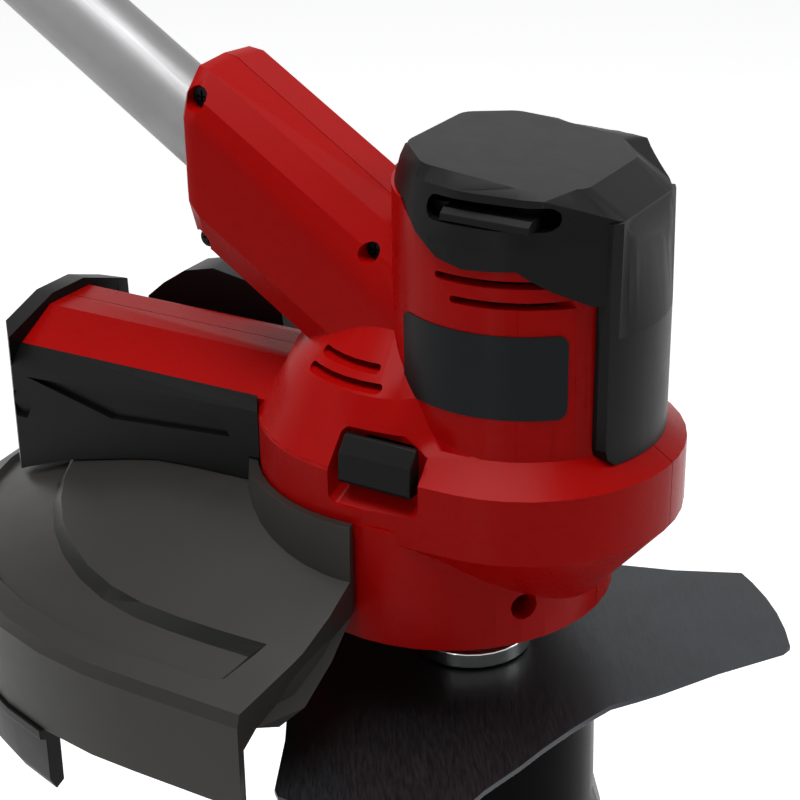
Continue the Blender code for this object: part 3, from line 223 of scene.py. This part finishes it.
def skinned(node, material, edge=0.0, angle=CREASE, reshape=None):
    """The look of one solid: its mesh merged, flats made whole, edges eased and shaded smooth."""
    bm = bmesh.new()
    bm.from_mesh(frame["nodes"][node].data)
    bmesh.ops.remove_doubles(bm, verts=bm.verts, dist=MERGE)
    bm.normal_update()
    if reshape:
        reshape(bm)
    bmesh.ops.dissolve_limit(bm, angle_limit=FLAT_WITHIN, verts=bm.verts, edges=bm.edges)
    mesh = bpy.data.meshes.new(node + "_look")
    bm.to_mesh(mesh)
    bm.free()
    item = bpy.data.objects.new(node + "_look", mesh)
    bpy.context.collection.objects.link(item)
    mesh.materials.append(material)
    mesh.shade_smooth()
    mesh.set_sharp_from_angle(angle=math.radians(angle))
    if edge:
        eased = item.modifiers.new("eased_edges", "BEVEL")
        eased.width = edge
        eased.segments = EASED_STEPS
        eased.limit_method = "ANGLE"
        eased.angle_limit = math.radians(angle)
        eased.use_clamp_overlap = True
    weighed = item.modifiers.new("weighed_normals", "WEIGHTED_NORMAL")
    weighed.mode = "FACE_AREA"
    weighed.keep_sharp = True
    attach(item, frame["nodes"][node]["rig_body"])
    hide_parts(node)
    return item


def about_motor(point):
    """Radius, bearing and height of a point about the motor's axis, over the blade's centre."""
    local = point - HEAD
    flat = Vector((local.x - MOTOR_AXIS, local.y))
    return flat.length, math.atan2(flat.y, flat.x), local.z


def from_motor(radius, bearing, z):
    return at_head(MOTOR_AXIS + radius * math.cos(bearing), radius * math.sin(bearing), z)


def vertices_of(faces):
    return {vert for face in faces for vert in face.verts}


def strips(bm, chosen):
    """The chosen faces cut by upright planes through the motor's axis; gives them all back."""
    bm.faces.index_update()
    numbers = [face.index for face in chosen]
    mark = bm.faces.layers.int.new("strip")
    bm.faces.ensure_lookup_table()
    for number in numbers:
        bm.faces[number][mark] = 1
    for k in range(int(math.pi / STRIP)):
        faces = [face for face in bm.faces if face[mark]]
        edges = {edge for face in faces for edge in face.edges}
        across = Vector((-math.sin(k * STRIP), math.cos(k * STRIP), 0))
        bmesh.ops.bisect_plane(bm, geom=[*vertices_of(faces), *edges, *faces], dist=ON_PLANE,
                               plane_co=at_head(MOTOR_AXIS, 0, 0), plane_no=across)
    numbers = [n for n, face in enumerate(bm.faces) if face[mark]]
    bm.faces.layers.int.remove(mark)
    bm.faces.ensure_lookup_table()
    return [bm.faces[number] for number in numbers]


def wall_faces(bm, low, high, inside, outside, outward=1, tilt=0.12, least=0.75):
    """Steep faces about the motor's axis between two heights and two radii, that look out or in."""
    found = []
    for face in bm.faces:
        radius, bearing, z = about_motor(face.calc_center_median())
        facing = outward * (face.normal.x * math.cos(bearing) + face.normal.y * math.sin(bearing))
        if low < z < high and inside < radius < outside and abs(face.normal.z) < tilt and facing > least:
            found.append(face)
    return found


def round_body(bm):
    """Brings the motor body of one shell onto its round wall, a little wider at the shoulder."""
    for vert in vertices_of(strips(bm, wall_faces(bm, *BODY_WALL))):
        _, bearing, z = about_motor(vert.co)
        if z < SHOULDER:
            vert.co = from_motor(SHOULDER_RADIUS, bearing, SHOULDER)
        else:
            vert.co = from_motor(BARREL, bearing, z)


CLOUDS_PER_METRE = 38.0
RUBS_PER_METRE = 110.0


def moulded(name, base, light, rough, grain=0.35, depth=0.03, shine=0.10):
    """An injection-moulded plastic. Flow clouds some 26 mm across turn the base colour to the light one.

    The mould's spark-eroded grain, in millimetres, is drawn four times as coarse so that it shows, and
    depth is its height. Patches of wear some 9 mm across make the gloss uneven. Shine is the level of
    the mirror light, low on black and filled plastics.
    """
    made = bpy.data.materials.new(name)
    made.use_nodes = True
    tree = made.node_tree
    shader = tree.nodes["Principled BSDF"]
    shader.inputs["Specular IOR Level"].default_value = shine
    where = add(tree, "ShaderNodeTexCoord").outputs["Object"]
    clouds = add(tree, "ShaderNodeTexNoise", Vector=where,
                 values={"Scale": CLOUDS_PER_METRE, "Detail": 3.0, "Roughness": 0.6})
    blend = add(tree, "ShaderNodeMix", {"data_type": "RGBA"}, {6: tone(base), 7: tone(light)},
                _0=clouds.outputs["Fac"])
    tree.links.new(blend.outputs[2], shader.inputs["Base Color"])
    erosion = add(tree, "ShaderNodeTexNoise", Vector=where,
                  values={"Scale": 1000.0 / grain / 4, "Detail": 2.0})
    rub = add(tree, "ShaderNodeTexNoise", Vector=where,
              values={"Scale": RUBS_PER_METRE, "Detail": 4.0, "Roughness": 0.7})
    gloss = {"From Min": 0.3, "From Max": 0.7, "To Min": rough - 0.025, "To Max": rough + 0.03}
    wear = add(tree, "ShaderNodeMapRange", values=gloss, Value=rub.outputs["Fac"])
    tree.links.new(wear.outputs[0], shader.inputs["Roughness"])
    relief = add(tree, "ShaderNodeBump", values={"Strength": 0.35, "Distance": depth / 1000},
                 Height=erosion.outputs["Fac"])
    tree.links.new(relief.outputs[0], shader.inputs["Normal"])
    return made


# Red ABS out of a finely eroded mould: a deep red with a soft half gloss.
red_abs = moulded("red_moulded_abs", "#ac0806", "#b40b08", 0.28, shine=0.06)
skinned("housing_right", red_abs, edge=0.0006, reshape=round_body)
skinned("housing_left", red_abs, edge=0.0006, reshape=round_body)


# The motor cap and the screen behind its slot: glass-filled nylon, moulded, the cap seated
# over the motor body and the ring. Its skirt and the rear half of its brim are round with
# the body, and its eight-sided top falls a little towards the front.

CAP_SKIRT = 0.0383
CAP_SEAT = 0.0375
SKIRT_TOP = 0.147
BRIM_RADIUS = 0.0348
BRIM_TOP = 0.1603
BRIM_FALL = 0.62
BRIM_BREAK = 0.042
CAP_TOP = 0.1650
CAP_FALL = 0.09
TOP_REAR = -0.0115
LEVEL_SLACK = 0.0003

# How far each side of the top lies from the motor's axis, and its bearing in degrees.
TOP_SIDES = ((0.0268, 0), (0.0305, 45), (0.0283, 90), (0.0318, 135), (0.0287, 180))
LEAST_COSINE = 0.1

# Bearings in degrees where the panel ends, and where skirt and brim have come onto the round.
PANEL_END = 31
SKIRT_ROUND = 50
BRIM_ROUND = 90

CAP_BORE = (0.080, 0.157, 0.0369, 0.0400)
CAP_BORE_CUT = (0.080, 0.157, 0.0366, 0.0400)
BORE_LEAST = 0.0368
CAP_OUTSIDE = (0.122, 0.1645, 0.0270, 0.0412)
OUTSIDE_TILT = 0.92
OUTSIDE_LEAST = 0.35


def share(part, whole):
    """Part of a whole, held between none and all."""
    return min(1.0, max(0.0, part / whole))


def round_cap(bm):
    """Brings the cap's skirt and the rear half of its brim onto the round."""
    strips(bm, wall_faces(bm, *CAP_BORE, outward=-1))
    outer = [face for face in wall_faces(bm, *CAP_OUTSIDE, tilt=OUTSIDE_TILT, least=OUTSIDE_LEAST)
             if abs(about_motor(face.calc_center_median())[1]) > math.radians(PANEL_END)]
    outer = vertices_of(strips(bm, outer))
    bm.normal_update()
    for vert in vertices_of(wall_faces(bm, *CAP_BORE_CUT, outward=-1)) - outer:
        radius, bearing, z = about_motor(vert.co)
        if radius > BORE_LEAST:
            vert.co = from_motor(CAP_SEAT, bearing, z)
    for vert in outer:
        radius, bearing, z = about_motor(vert.co)
        x = vert.co.x - HEAD.x
        brim_z = BRIM_TOP - BRIM_FALL * max(0.0, x - BRIM_BREAK)
        top_z = CAP_TOP - CAP_FALL * (x - TOP_REAR)
        if z > top_z - LEVEL_SLACK:
            continue
        height = share(z - SKIRT_TOP, BRIM_TOP - SKIRT_TOP)
        turned = math.degrees(abs(bearing))
        at_skirt = share(turned - PANEL_END, SKIRT_ROUND - PANEL_END)
        at_brim = share(turned - SKIRT_ROUND, BRIM_ROUND - SKIRT_ROUND)
        pull = at_skirt + (at_brim - at_skirt) * height
        round_radius = CAP_SKIRT + (BRIM_RADIUS - CAP_SKIRT) * height
        if z > brim_z + LEVEL_SLACK:
            top_edge = min(reach / max(LEAST_COSINE, math.cos(abs(bearing) - math.radians(side)))
                           for reach, side in TOP_SIDES)
            round_radius += (top_edge - BRIM_RADIUS) * (z - brim_z) / (top_z - brim_z)
        vert.co = from_motor(radius + (round_radius - radius) * pull, bearing, z)


# Glass-filled nylon: near black, with a dull sheen that the fibres break up.
black_nylon = moulded("black_filled_nylon", "#0f0f0f", "#131312", 0.36)
skinned("motor_cap", black_nylon, edge=0.0008, reshape=round_cap)
skinned("intake_screen", black_nylon, edge=0.0002)


# The spindle lock: a nylon button in a pocket of the right shell, pressed in against its
# spring to hold the spindle while the blade is changed.

skinned("lock_button", black_nylon, edge=0.0004)


# The plate on the right flank: a bare plastic film with round corners, pressed flat round
# the motor body.

PLATE_START = math.radians(-124.5)
PLATE_END = math.radians(-43.5)
PLATE_LOW = 0.0973
PLATE_HIGH = 0.1219
PLATE_CORNER = 0.0030
PLATE_FILM = 0.0004
PLATE_STEP = math.radians(3)
CORNER_STEPS = 6

corner_turn = math.asin(PLATE_CORNER / BARREL)
plate_middle = PLATE_END - PLATE_START - 2 * corner_turn
fractions = [1 - math.cos(math.radians(90 / CORNER_STEPS * k)) for k in range(CORNER_STEPS + 1)]
middle_steps = int(plate_middle / PLATE_STEP)
bearings = [PLATE_START + corner_turn * f for f in fractions]
bearings += [PLATE_START + corner_turn + plate_middle * k / middle_steps for k in range(1, middle_steps)]
bearings += [PLATE_END - corner_turn * f for f in reversed(fractions)]
bm = bmesh.new()
columns = []
for bearing in bearings:
    run = min(bearing - PLATE_START, PLATE_END - bearing) * BARREL
    short = max(0.0, PLATE_CORNER - run)
    drop = PLATE_CORNER - math.sqrt(max(0.0, PLATE_CORNER ** 2 - short ** 2))
    heights = (PLATE_LOW + drop, PLATE_HIGH - drop)
    outline = [(BARREL + PLATE_FILM, z) for z in heights]
    outline += [(BARREL - PLATE_FILM, z) for z in reversed(heights)]
    columns.append([bm.verts.new(from_motor(radius, bearing, z)) for radius, z in outline])
for a, b in zip(columns, columns[1:]):
    for k in range(4):
        bm.faces.new((a[k], b[k], b[(k + 1) % 4], a[(k + 1) % 4]))
bm.faces.new(columns[0])
bm.faces.new(reversed(columns[-1]))
bmesh.ops.recalc_face_normals(bm, faces=bm.faces)
mesh = bpy.data.meshes.new("blank_plate")
bm.to_mesh(mesh)
bm.free()
plate = bpy.data.objects.new("blank_plate", mesh)
bpy.context.collection.objects.link(plate)
mesh.shade_smooth()
mesh.set_sharp_from_angle(angle=math.radians(35))

# Polyester film with a satin face: flat dark grey, nearly without grain.
satin_film = moulded("satin_film", "#141719", "#181b1d", 0.36, grain=0.5, depth=0.01)
mesh.materials.append(satin_film)
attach(plate, "main")


# The housing screws: thread-forming steel screws with a cross recess, driven to the bottom
# of moulded wells, three in the shaft's clamp and one low on the gear case on each flank.

SCREW_SIZES = {"Head Radius": 0.0028, "Head Height": 0.0016, "Cross Width": 0.0007, "Cross Reach": 0.0018}
SCREW_SIDES = 20
RECESS_LIFT = 0.6
WELL_FLOOR = 0.0155
SHAFT_ANGLE = math.radians(32.6)
CLAMP_X = -0.0395
CLAMP_HEIGHT = 0.120

# Each clamp well's place along the head, and its height square to the shaft's axis.
CLAMP_WELLS = ((-0.0805, 0.0185), (-0.081, -0.0185), (-0.022, 0.0190))
BASE_X = -0.0074
BASE_REACH = 0.0398
BASE_TURN = math.radians(35)
BASE_WELL_HEIGHT = 0.0368


def growing_tree(name, sizes):
    """A tree of geometry nodes with points, its sizes and a material as inputs; gives its input node too."""
    tree = bpy.data.node_groups.new(name, "GeometryNodeTree")
    tree.interface.new_socket("Geometry", in_out="INPUT", socket_type="NodeSocketGeometry")
    for size, value in sizes.items():
        socket = tree.interface.new_socket(size, in_out="INPUT", socket_type="NodeSocketFloat")
        socket.default_value = value
    tree.interface.new_socket("Material", in_out="INPUT", socket_type="NodeSocketMaterial")
    tree.interface.new_socket("Geometry", in_out="OUTPUT", socket_type="NodeSocketGeometry")
    return tree, add(tree, "NodeGroupInput")


def set_on_points(tree, given, shape):
    """Sets the shape on each point along the point's axis, makes it real and gives it its material."""
    axis = add(tree, "GeometryNodeInputNamedAttribute", {"data_type": "FLOAT_VECTOR"}, {"Name": "axis"})
    turn = add(tree, "FunctionNodeAlignRotationToVector", {"axis": "Z"}, Vector=axis.outputs[0])
    spread = add(tree, "GeometryNodeInstanceOnPoints", Points=given.outputs["Geometry"],
                 Instance=shape, Rotation=turn.outputs[0])
    real = add(tree, "GeometryNodeRealizeInstances", Geometry=spread.outputs[0])
    coat = add(tree, "GeometryNodeSetMaterial", Geometry=real.outputs[0], Material=given.outputs["Material"])
    add(tree, "NodeGroupOutput", Geometry=coat.outputs[0])


def screw_tree():
    """A round head with a cross cut out of its top."""
    tree, given = growing_tree("screw_heads", SCREW_SIZES)
    size = given.outputs
    head = add(tree, "GeometryNodeMeshCylinder", values={"Vertices": SCREW_SIDES},
               Radius=size["Head Radius"], Depth=size["Head Height"])
    half_bar = add(tree, "ShaderNodeCombineXYZ",
                   X=size["Cross Reach"], Y=size["Cross Width"], Z=size["Head Height"])
    whole_bar = add(tree, "ShaderNodeVectorMath", {"operation": "MULTIPLY"}, {1: (2.0, 1.0, 1.0)},
                    _0=half_bar.outputs[0])
    bar = add(tree, "GeometryNodeMeshCube", Size=whole_bar.outputs[0])
    head_height = add(tree, "ShaderNodeCombineXYZ", Z=size["Head Height"])
    lift = add(tree, "ShaderNodeVectorMath", {"operation": "SCALE"}, {"Scale": RECESS_LIFT},
               _0=head_height.outputs[0])
    first = add(tree, "GeometryNodeTransform", Geometry=bar.outputs[0], Translation=lift.outputs[0])
    second = add(tree, "GeometryNodeTransform", values={"Rotation": (0, 0, math.pi / 2)},
                 Geometry=bar.outputs[0], Translation=lift.outputs[0])
    cut = add(tree, "GeometryNodeMeshBoolean", {"operation": "DIFFERENCE"},
              _0=head.outputs["Mesh"], _1=first.outputs[0])
    tree.links.new(second.outputs[0], cut.inputs[1])
    set_on_points(tree, given, cut.outputs[0])
    return tree


def grown(name, tree, points, axes, values, body, angle=35):
    """Points with an axis each, run through a tree of geometry nodes and turned into one plain mesh."""
    carrier = bpy.data.meshes.new(name + "_points")
    carrier.from_pydata([tuple(p) for p in points], [], [])
    data = carrier.attributes.new("axis", "FLOAT_VECTOR", "POINT")
    for k, axis in enumerate(axes):
        data.data[k].vector = axis
    source = bpy.data.objects.new(name + "_source", carrier)
    bpy.context.collection.objects.link(source)
    step = source.modifiers.new("grow", "NODES")
    step.node_group = tree
    for socket in tree.interface.items_tree:
        if socket.in_out == "INPUT" and socket.name in values:
            step[socket.identifier] = values[socket.name]
    source.update_tag()
    depsgraph = bpy.context.evaluated_depsgraph_get()
    mesh = bpy.data.meshes.new_from_object(source.evaluated_get(depsgraph))
    bpy.data.objects.remove(source, do_unlink=True)
    item = bpy.data.objects.new(name, mesh)
    bpy.context.collection.objects.link(item)
    mesh.shade_smooth()
    mesh.set_sharp_from_angle(angle=math.radians(angle))
    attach(item, body)


def clamp_well(x, above):
    """Height over the blade of a well in the clamp, whose sides follow the shaft."""
    return CLAMP_HEIGHT + (CLAMP_X - x) * math.tan(SHAFT_ANGLE) + above / math.cos(SHAFT_ANGLE)


MARKS_PER_METRE = 1800.0
HAZE_PER_METRE = 45.0


def metal(name, base, rough, brushed=(1, 1, 1), depth=0.004, rotation=(0, 0, 0), centre=(0, 0, 0)):
    """A bare metal with fine tool marks, some 0.6 mm apart, and a haze of oil some 22 mm across.

    Brushed below 1 draws the marks out along X, Y or Z, which rotation and centre lay on the piece.
    Depth is the marks' height in millimetres.
    """
    made = bpy.data.materials.new(name)
    made.use_nodes = True
    tree = made.node_tree
    shader = tree.nodes["Principled BSDF"]
    shader.inputs["Metallic"].default_value = 1.0
    where = add(tree, "ShaderNodeTexCoord").outputs["Object"]
    laid = add(tree, "ShaderNodeMapping", {"vector_type": "TEXTURE"},
               {"Location": centre, "Rotation": rotation}, Vector=where)
    stretched = add(tree, "ShaderNodeMapping", values={"Scale": brushed}, Vector=laid.outputs[0])
    marks = add(tree, "ShaderNodeTexNoise", Vector=stretched.outputs[0],
                values={"Scale": MARKS_PER_METRE, "Detail": 3.0, "Roughness": 0.65})
    haze = add(tree, "ShaderNodeTexNoise", Vector=where,
               values={"Scale": HAZE_PER_METRE, "Detail": 4.0, "Roughness": 0.6})
    tint = {"From Min": 0.25, "From Max": 0.75, "To Min": 0.88, "To Max": 1.06}
    shade = add(tree, "ShaderNodeMapRange", values=tint, Value=haze.outputs["Fac"])
    colour = add(tree, "ShaderNodeVectorMath", {"operation": "SCALE"}, {0: tone(base)[:3]},
                 Scale=shade.outputs[0])
    tree.links.new(colour.outputs[0], shader.inputs["Base Color"])
    polish = {"From Min": 0.3, "From Max": 0.7, "To Min": rough - 0.06, "To Max": rough + 0.08}
    gloss = add(tree, "ShaderNodeMapRange", values=polish, Value=marks.outputs["Fac"])
    tree.links.new(gloss.outputs[0], shader.inputs["Roughness"])
    relief = add(tree, "ShaderNodeBump", values={"Strength": 0.3, "Distance": depth / 1000},
                 Height=marks.outputs["Fac"])
    tree.links.new(relief.outputs[0], shader.inputs["Normal"])
    return made


# Case-hardened steel, blackened in a salt bath: dark, with a faint edge of light.
black_steel = metal("blackened_steel", "#1d1d1f", 0.36)
places = []
axes = []
for side in (-1, 1):
    places += [at_head(x, side * WELL_FLOOR, clamp_well(x, above)) for x, above in CLAMP_WELLS]
    axes += [(0, side, 0)] * len(CLAMP_WELLS)
    base_y = side * BASE_REACH * math.sin(BASE_TURN)
    places.append(at_head(BASE_X + BASE_REACH * math.cos(BASE_TURN), base_y, BASE_WELL_HEIGHT))
    axes.append((math.cos(BASE_TURN), side * math.sin(BASE_TURN), 0))
screw_values = {**SCREW_SIZES, "Material": black_steel}
grown("clamp_screws", screw_tree(), places, axes, screw_values, "main")


# The drive inside the head: hobbed and hardened gears and a pressed rotor, a die-cast plate
# that holds the bearings, windings of enamelled copper, and a moulded fan on the rotor.

# Hardened steel as cut: mid grey and half bright.
gear_steel = metal("cut_gear_steel", "#8e8f92", 0.30)
for node in ("drive_gear", "pinion", "motor_rotor"):
    skinned(node, gear_steel)

# Die-cast aluminium: pale and dull from the mould.
gear_plate_alloy = metal("die_cast_alloy", "#b7b7b5", 0.48)
skinned("gear_plate", gear_plate_alloy)

# Enamelled copper wire: brown red, with marks along the motor's axis, as its wires lie.
copper_winding = metal("enamelled_copper", "#a5562c", 0.34, brushed=(1.0, 1.0, 0.04), depth=0.05)
skinned("motor_stator", copper_winding)
skinned("cooling_fan", black_nylon)


# The cutting side: a ground spindle on its bearings carries a turned driver flange, the
# three-toothed blade, a washer, the moulded support cup that glides on the ground, and a nut.

# Hardened spring steel, ground one way and oiled black: dark, with a long soft sheen.
blade_steel = metal("oiled_spring_steel", "#3e4043", 0.40, brushed=(1.0, 0.10, 1.0), depth=0.002,
                    rotation=(0, 0, 0.6), centre=at_head(0, 0, 0))
skinned("blade", blade_steel, edge=0.0002, angle=40)

# Turned and polished steel: bright, with fine marks round the axis.
bright_steel = metal("turned_steel", "#c9c9c6", 0.16, brushed=(0.05, 0.05, 1.0), centre=at_head(0, 0, 0))
for node in ("driver_flange", "clamping_washer", "blade_nut", "spindle"):
    skinned(node, bright_steel, edge=0.0002)
for node in ("lower_spindle_bearing", "upper_spindle_bearing", "motor_bearing"):
    skinned(node, bright_steel)

# Nylon from a polished mould, smoother than the cap. Its colour is set a deeper black than the cap's as
# painted shade under the blade.
cup_black_painted_shade = moulded("cup_nylon_painted_shade", "#040405", "#070708", 0.25, shine=0.03)
skinned("support_cup", cup_black_painted_shade, edge=0.0003)


# The bracket between the tail and the guard: glass-filled nylon, moulded with a long pocket
# and a six-sided nut seat in each wall, and bolted across the tail.

skinned("guard_bracket", black_nylon, edge=0.0006)


# The guard: polypropylene, moulded in one piece with its collar, and a nylon extension under
# its skirt. The collar reaches a little further round the gear case than the solid's does,
# and the slope between the rim and the sunk panel is smoother and painted darker, as painted shade of the
# step.

COLLAR_X = -0.015
COLLAR_REACH = math.radians(13)
ENDS_FROM = math.radians(150)
ENDS_RUN = math.radians(50)
RIM_RADIUS = 0.095
RIM_TO_COLLAR = 0.042
STEP_CENTRE = -0.058
STEP_REACH = 0.078
STEP_HALF = 0.080
STEP_FRONT = -0.020

# Where the slope lies, in shares of the panel's outline, and how far its faces look up.
STEP_SPREAD = (0.97, 1.16)
STEP_LOOK_UP = (0.30, 0.80)


def reach_round(bm):
    """Turns the guard's ends about the collar's axis, most at the collar and not at all at the rim."""
    for vert in bm.verts:
        local = vert.co - HEAD
        radius = math.hypot(local.x - COLLAR_X, local.y)
        bearing = math.atan2(local.y, local.x - COLLAR_X)
        near_end = share(ENDS_FROM - abs(bearing), ENDS_RUN)
        near_collar = share(RIM_RADIUS - radius, RIM_TO_COLLAR)
        turned = bearing - math.copysign(COLLAR_REACH * near_end * near_collar, bearing)
        vert.co = at_head(COLLAR_X + radius * math.cos(turned), radius * math.sin(turned), local.z)


def paint_step_shade(mesh, material):
    """Gives the slope between the guard's rim and its sunk panel a smoother finish whose darker colour is
    painted shade of the step.
    """
    mesh.materials.append(material)
    for face in mesh.polygons:
        local = face.center - HEAD
        behind = min(0.0, local.x - STEP_CENTRE) / STEP_REACH
        spread = math.hypot(behind, local.y / STEP_HALF)
        on_slope = STEP_SPREAD[0] < spread < STEP_SPREAD[1] and local.x < STEP_FRONT
        if on_slope and STEP_LOOK_UP[0] < face.normal.z < STEP_LOOK_UP[1]:
            face.material_index = len(mesh.materials) - 1


# Polypropylene from an eroded mould: a warm dark grey with a broad sheen.
guard_pp = moulded("grey_moulded_guard", "#2a2826", "#302e2b", 0.40, shine=0.22)

# The same plastic, smoother, with its colour darkened as painted shade in the step between rim and panel.
step_shade_pp = moulded("painted_shade_step_of_guard", "#0d0c0b", "#11100e", 0.28, shine=0.15)
guard = skinned("guard", guard_pp, edge=0.0004, reshape=reach_round)
# The slope's faces take the darker finish: painted shade of the step.
paint_step_shade(guard.data, step_shade_pp)
skinned("guard_extension", black_nylon, edge=0.0003)


# The shaft: one drawn aluminium tube, 26 mm across, clamped between the head's shells and
# running on into the rear grip. Places along it count from its axis below the harness eye.

EYE_LIFT = 0.034


def on_shaft(x, y, z):
    cosine, sine = math.cos(SHAFT_ANGLE), math.sin(SHAFT_ANGLE)
    return Vector((x * cosine + (z - EYE_LIFT) * sine, y, (z - EYE_LIFT) * cosine - x * sine))


# Clear anodised aluminium: an even pale grey, satin, with fine draw marks along the tube.
tube_aluminium = metal("anodised_aluminium", "#868687", 0.42, brushed=(0.02, 1.0, 1.0), depth=0.010,
                       rotation=(0, SHAFT_ANGLE, 0), centre=on_shaft(0, 0, 0))
skinned("shaft_tube", tube_aluminium, angle=40)


# The harness collar and the loop handle: nylon mouldings on the shaft. The handle's clamp
# halves are drawn together by a bolt through the loop's feet and a knob, and a moulded
# rubber sleeve covers the top of the loop.

# Moulded rubber: black and dull, with a coarse matt grain that gives grip.
soft_grip = moulded("soft_moulded_rubber", "#161616", "#1b1b1b", 0.62, grain=0.6, depth=0.06)
for node in ("harness_collar", "handle_clamp_upper", "handle_clamp_lower", "clamp_knob", "loop_handle"):
    skinned(node, black_nylon, edge=0.0004)
skinned("clamp_bolt", bright_steel)
skinned("loop_grip", soft_grip, edge=0.0003)


# The rear grip: two red ABS shells under a rubber cover. The trigger and the lock-off lever
# turn on steel pins, and the shells hold the switch, its board and the battery's terminals.

for node in ("rear_housing_right", "rear_housing_left", "lock_off_lever"):
    skinned(node, red_abs, edge=0.0005)
skinned("grip_cover", soft_grip, edge=0.0003)
for node in ("trigger", "speed_button", "switch_module", "terminal_block"):
    skinned(node, black_nylon, edge=0.0004)
for node in ("trigger_pin", "lock_off_pin"):
    skinned(node, bright_steel)

# Glass-fibre board under green lacquer: even, with a wet gloss.
board_green = moulded("lacquered_board", "#0c4a24", "#0f5a2c", 0.35, grain=1.2, depth=0.02)
skinned("control_board", board_green)


# The battery: two nylon half cases with moulded grip ribs on both flanks, round ten cells in
# blue sleeves, and a red latch at the top that catches in the rear grip.

PACK_SIDE = 0.0370
RIB_SINK = 0.0004
RIB_RADIUS = 0.0011
RIB_SIDES = 12
RIB_LOWEST = -0.040
RIB_PITCH = 0.011
RIB_COUNT = 7

# Each case's ribs: name, middle along the shaft, and length.
CASE_RIBS = (("front_case_ribs", -0.3995, 0.016), ("rear_case_ribs", -0.4300, 0.026))


def rib_tree():
    """A round-backed rib, half sunk in the case's wall."""
    tree, given = growing_tree("case_ribs", {"Rib Radius": RIB_RADIUS, "Rib Length": CASE_RIBS[0][2]})
    size = given.outputs
    rib = add(tree, "GeometryNodeMeshCylinder", values={"Vertices": RIB_SIDES},
              Radius=size["Rib Radius"], Depth=size["Rib Length"])
    set_on_points(tree, given, rib.outputs["Mesh"])
    return tree


for node in ("battery_front_case", "battery_rear_case"):
    skinned(node, black_nylon, edge=0.0008)
along = on_shaft(1, 0, 0) - on_shaft(0, 0, 0)
battery_body = frame["nodes"]["battery_rear_case"]["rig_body"]
ribs = rib_tree()
for name, middle, length in CASE_RIBS:
    points = [on_shaft(middle, side * (PACK_SIDE - RIB_SINK), RIB_LOWEST + RIB_PITCH * k)
              for side in (-1, 1) for k in range(RIB_COUNT)]
    rib_values = {"Rib Radius": RIB_RADIUS, "Rib Length": length, "Material": black_nylon}
    grown(name, ribs, points, [along] * len(points), rib_values, battery_body)
skinned("battery_latch", red_abs, edge=0.0005)

# Shrink sleeve on the cells: a clear blue with a smooth gloss.
cell_blue = moulded("blue_cell_sleeve", "#1b4f86", "#205a96", 0.30, grain=2.0, depth=0.01)
skinned("cell_block", cell_blue)
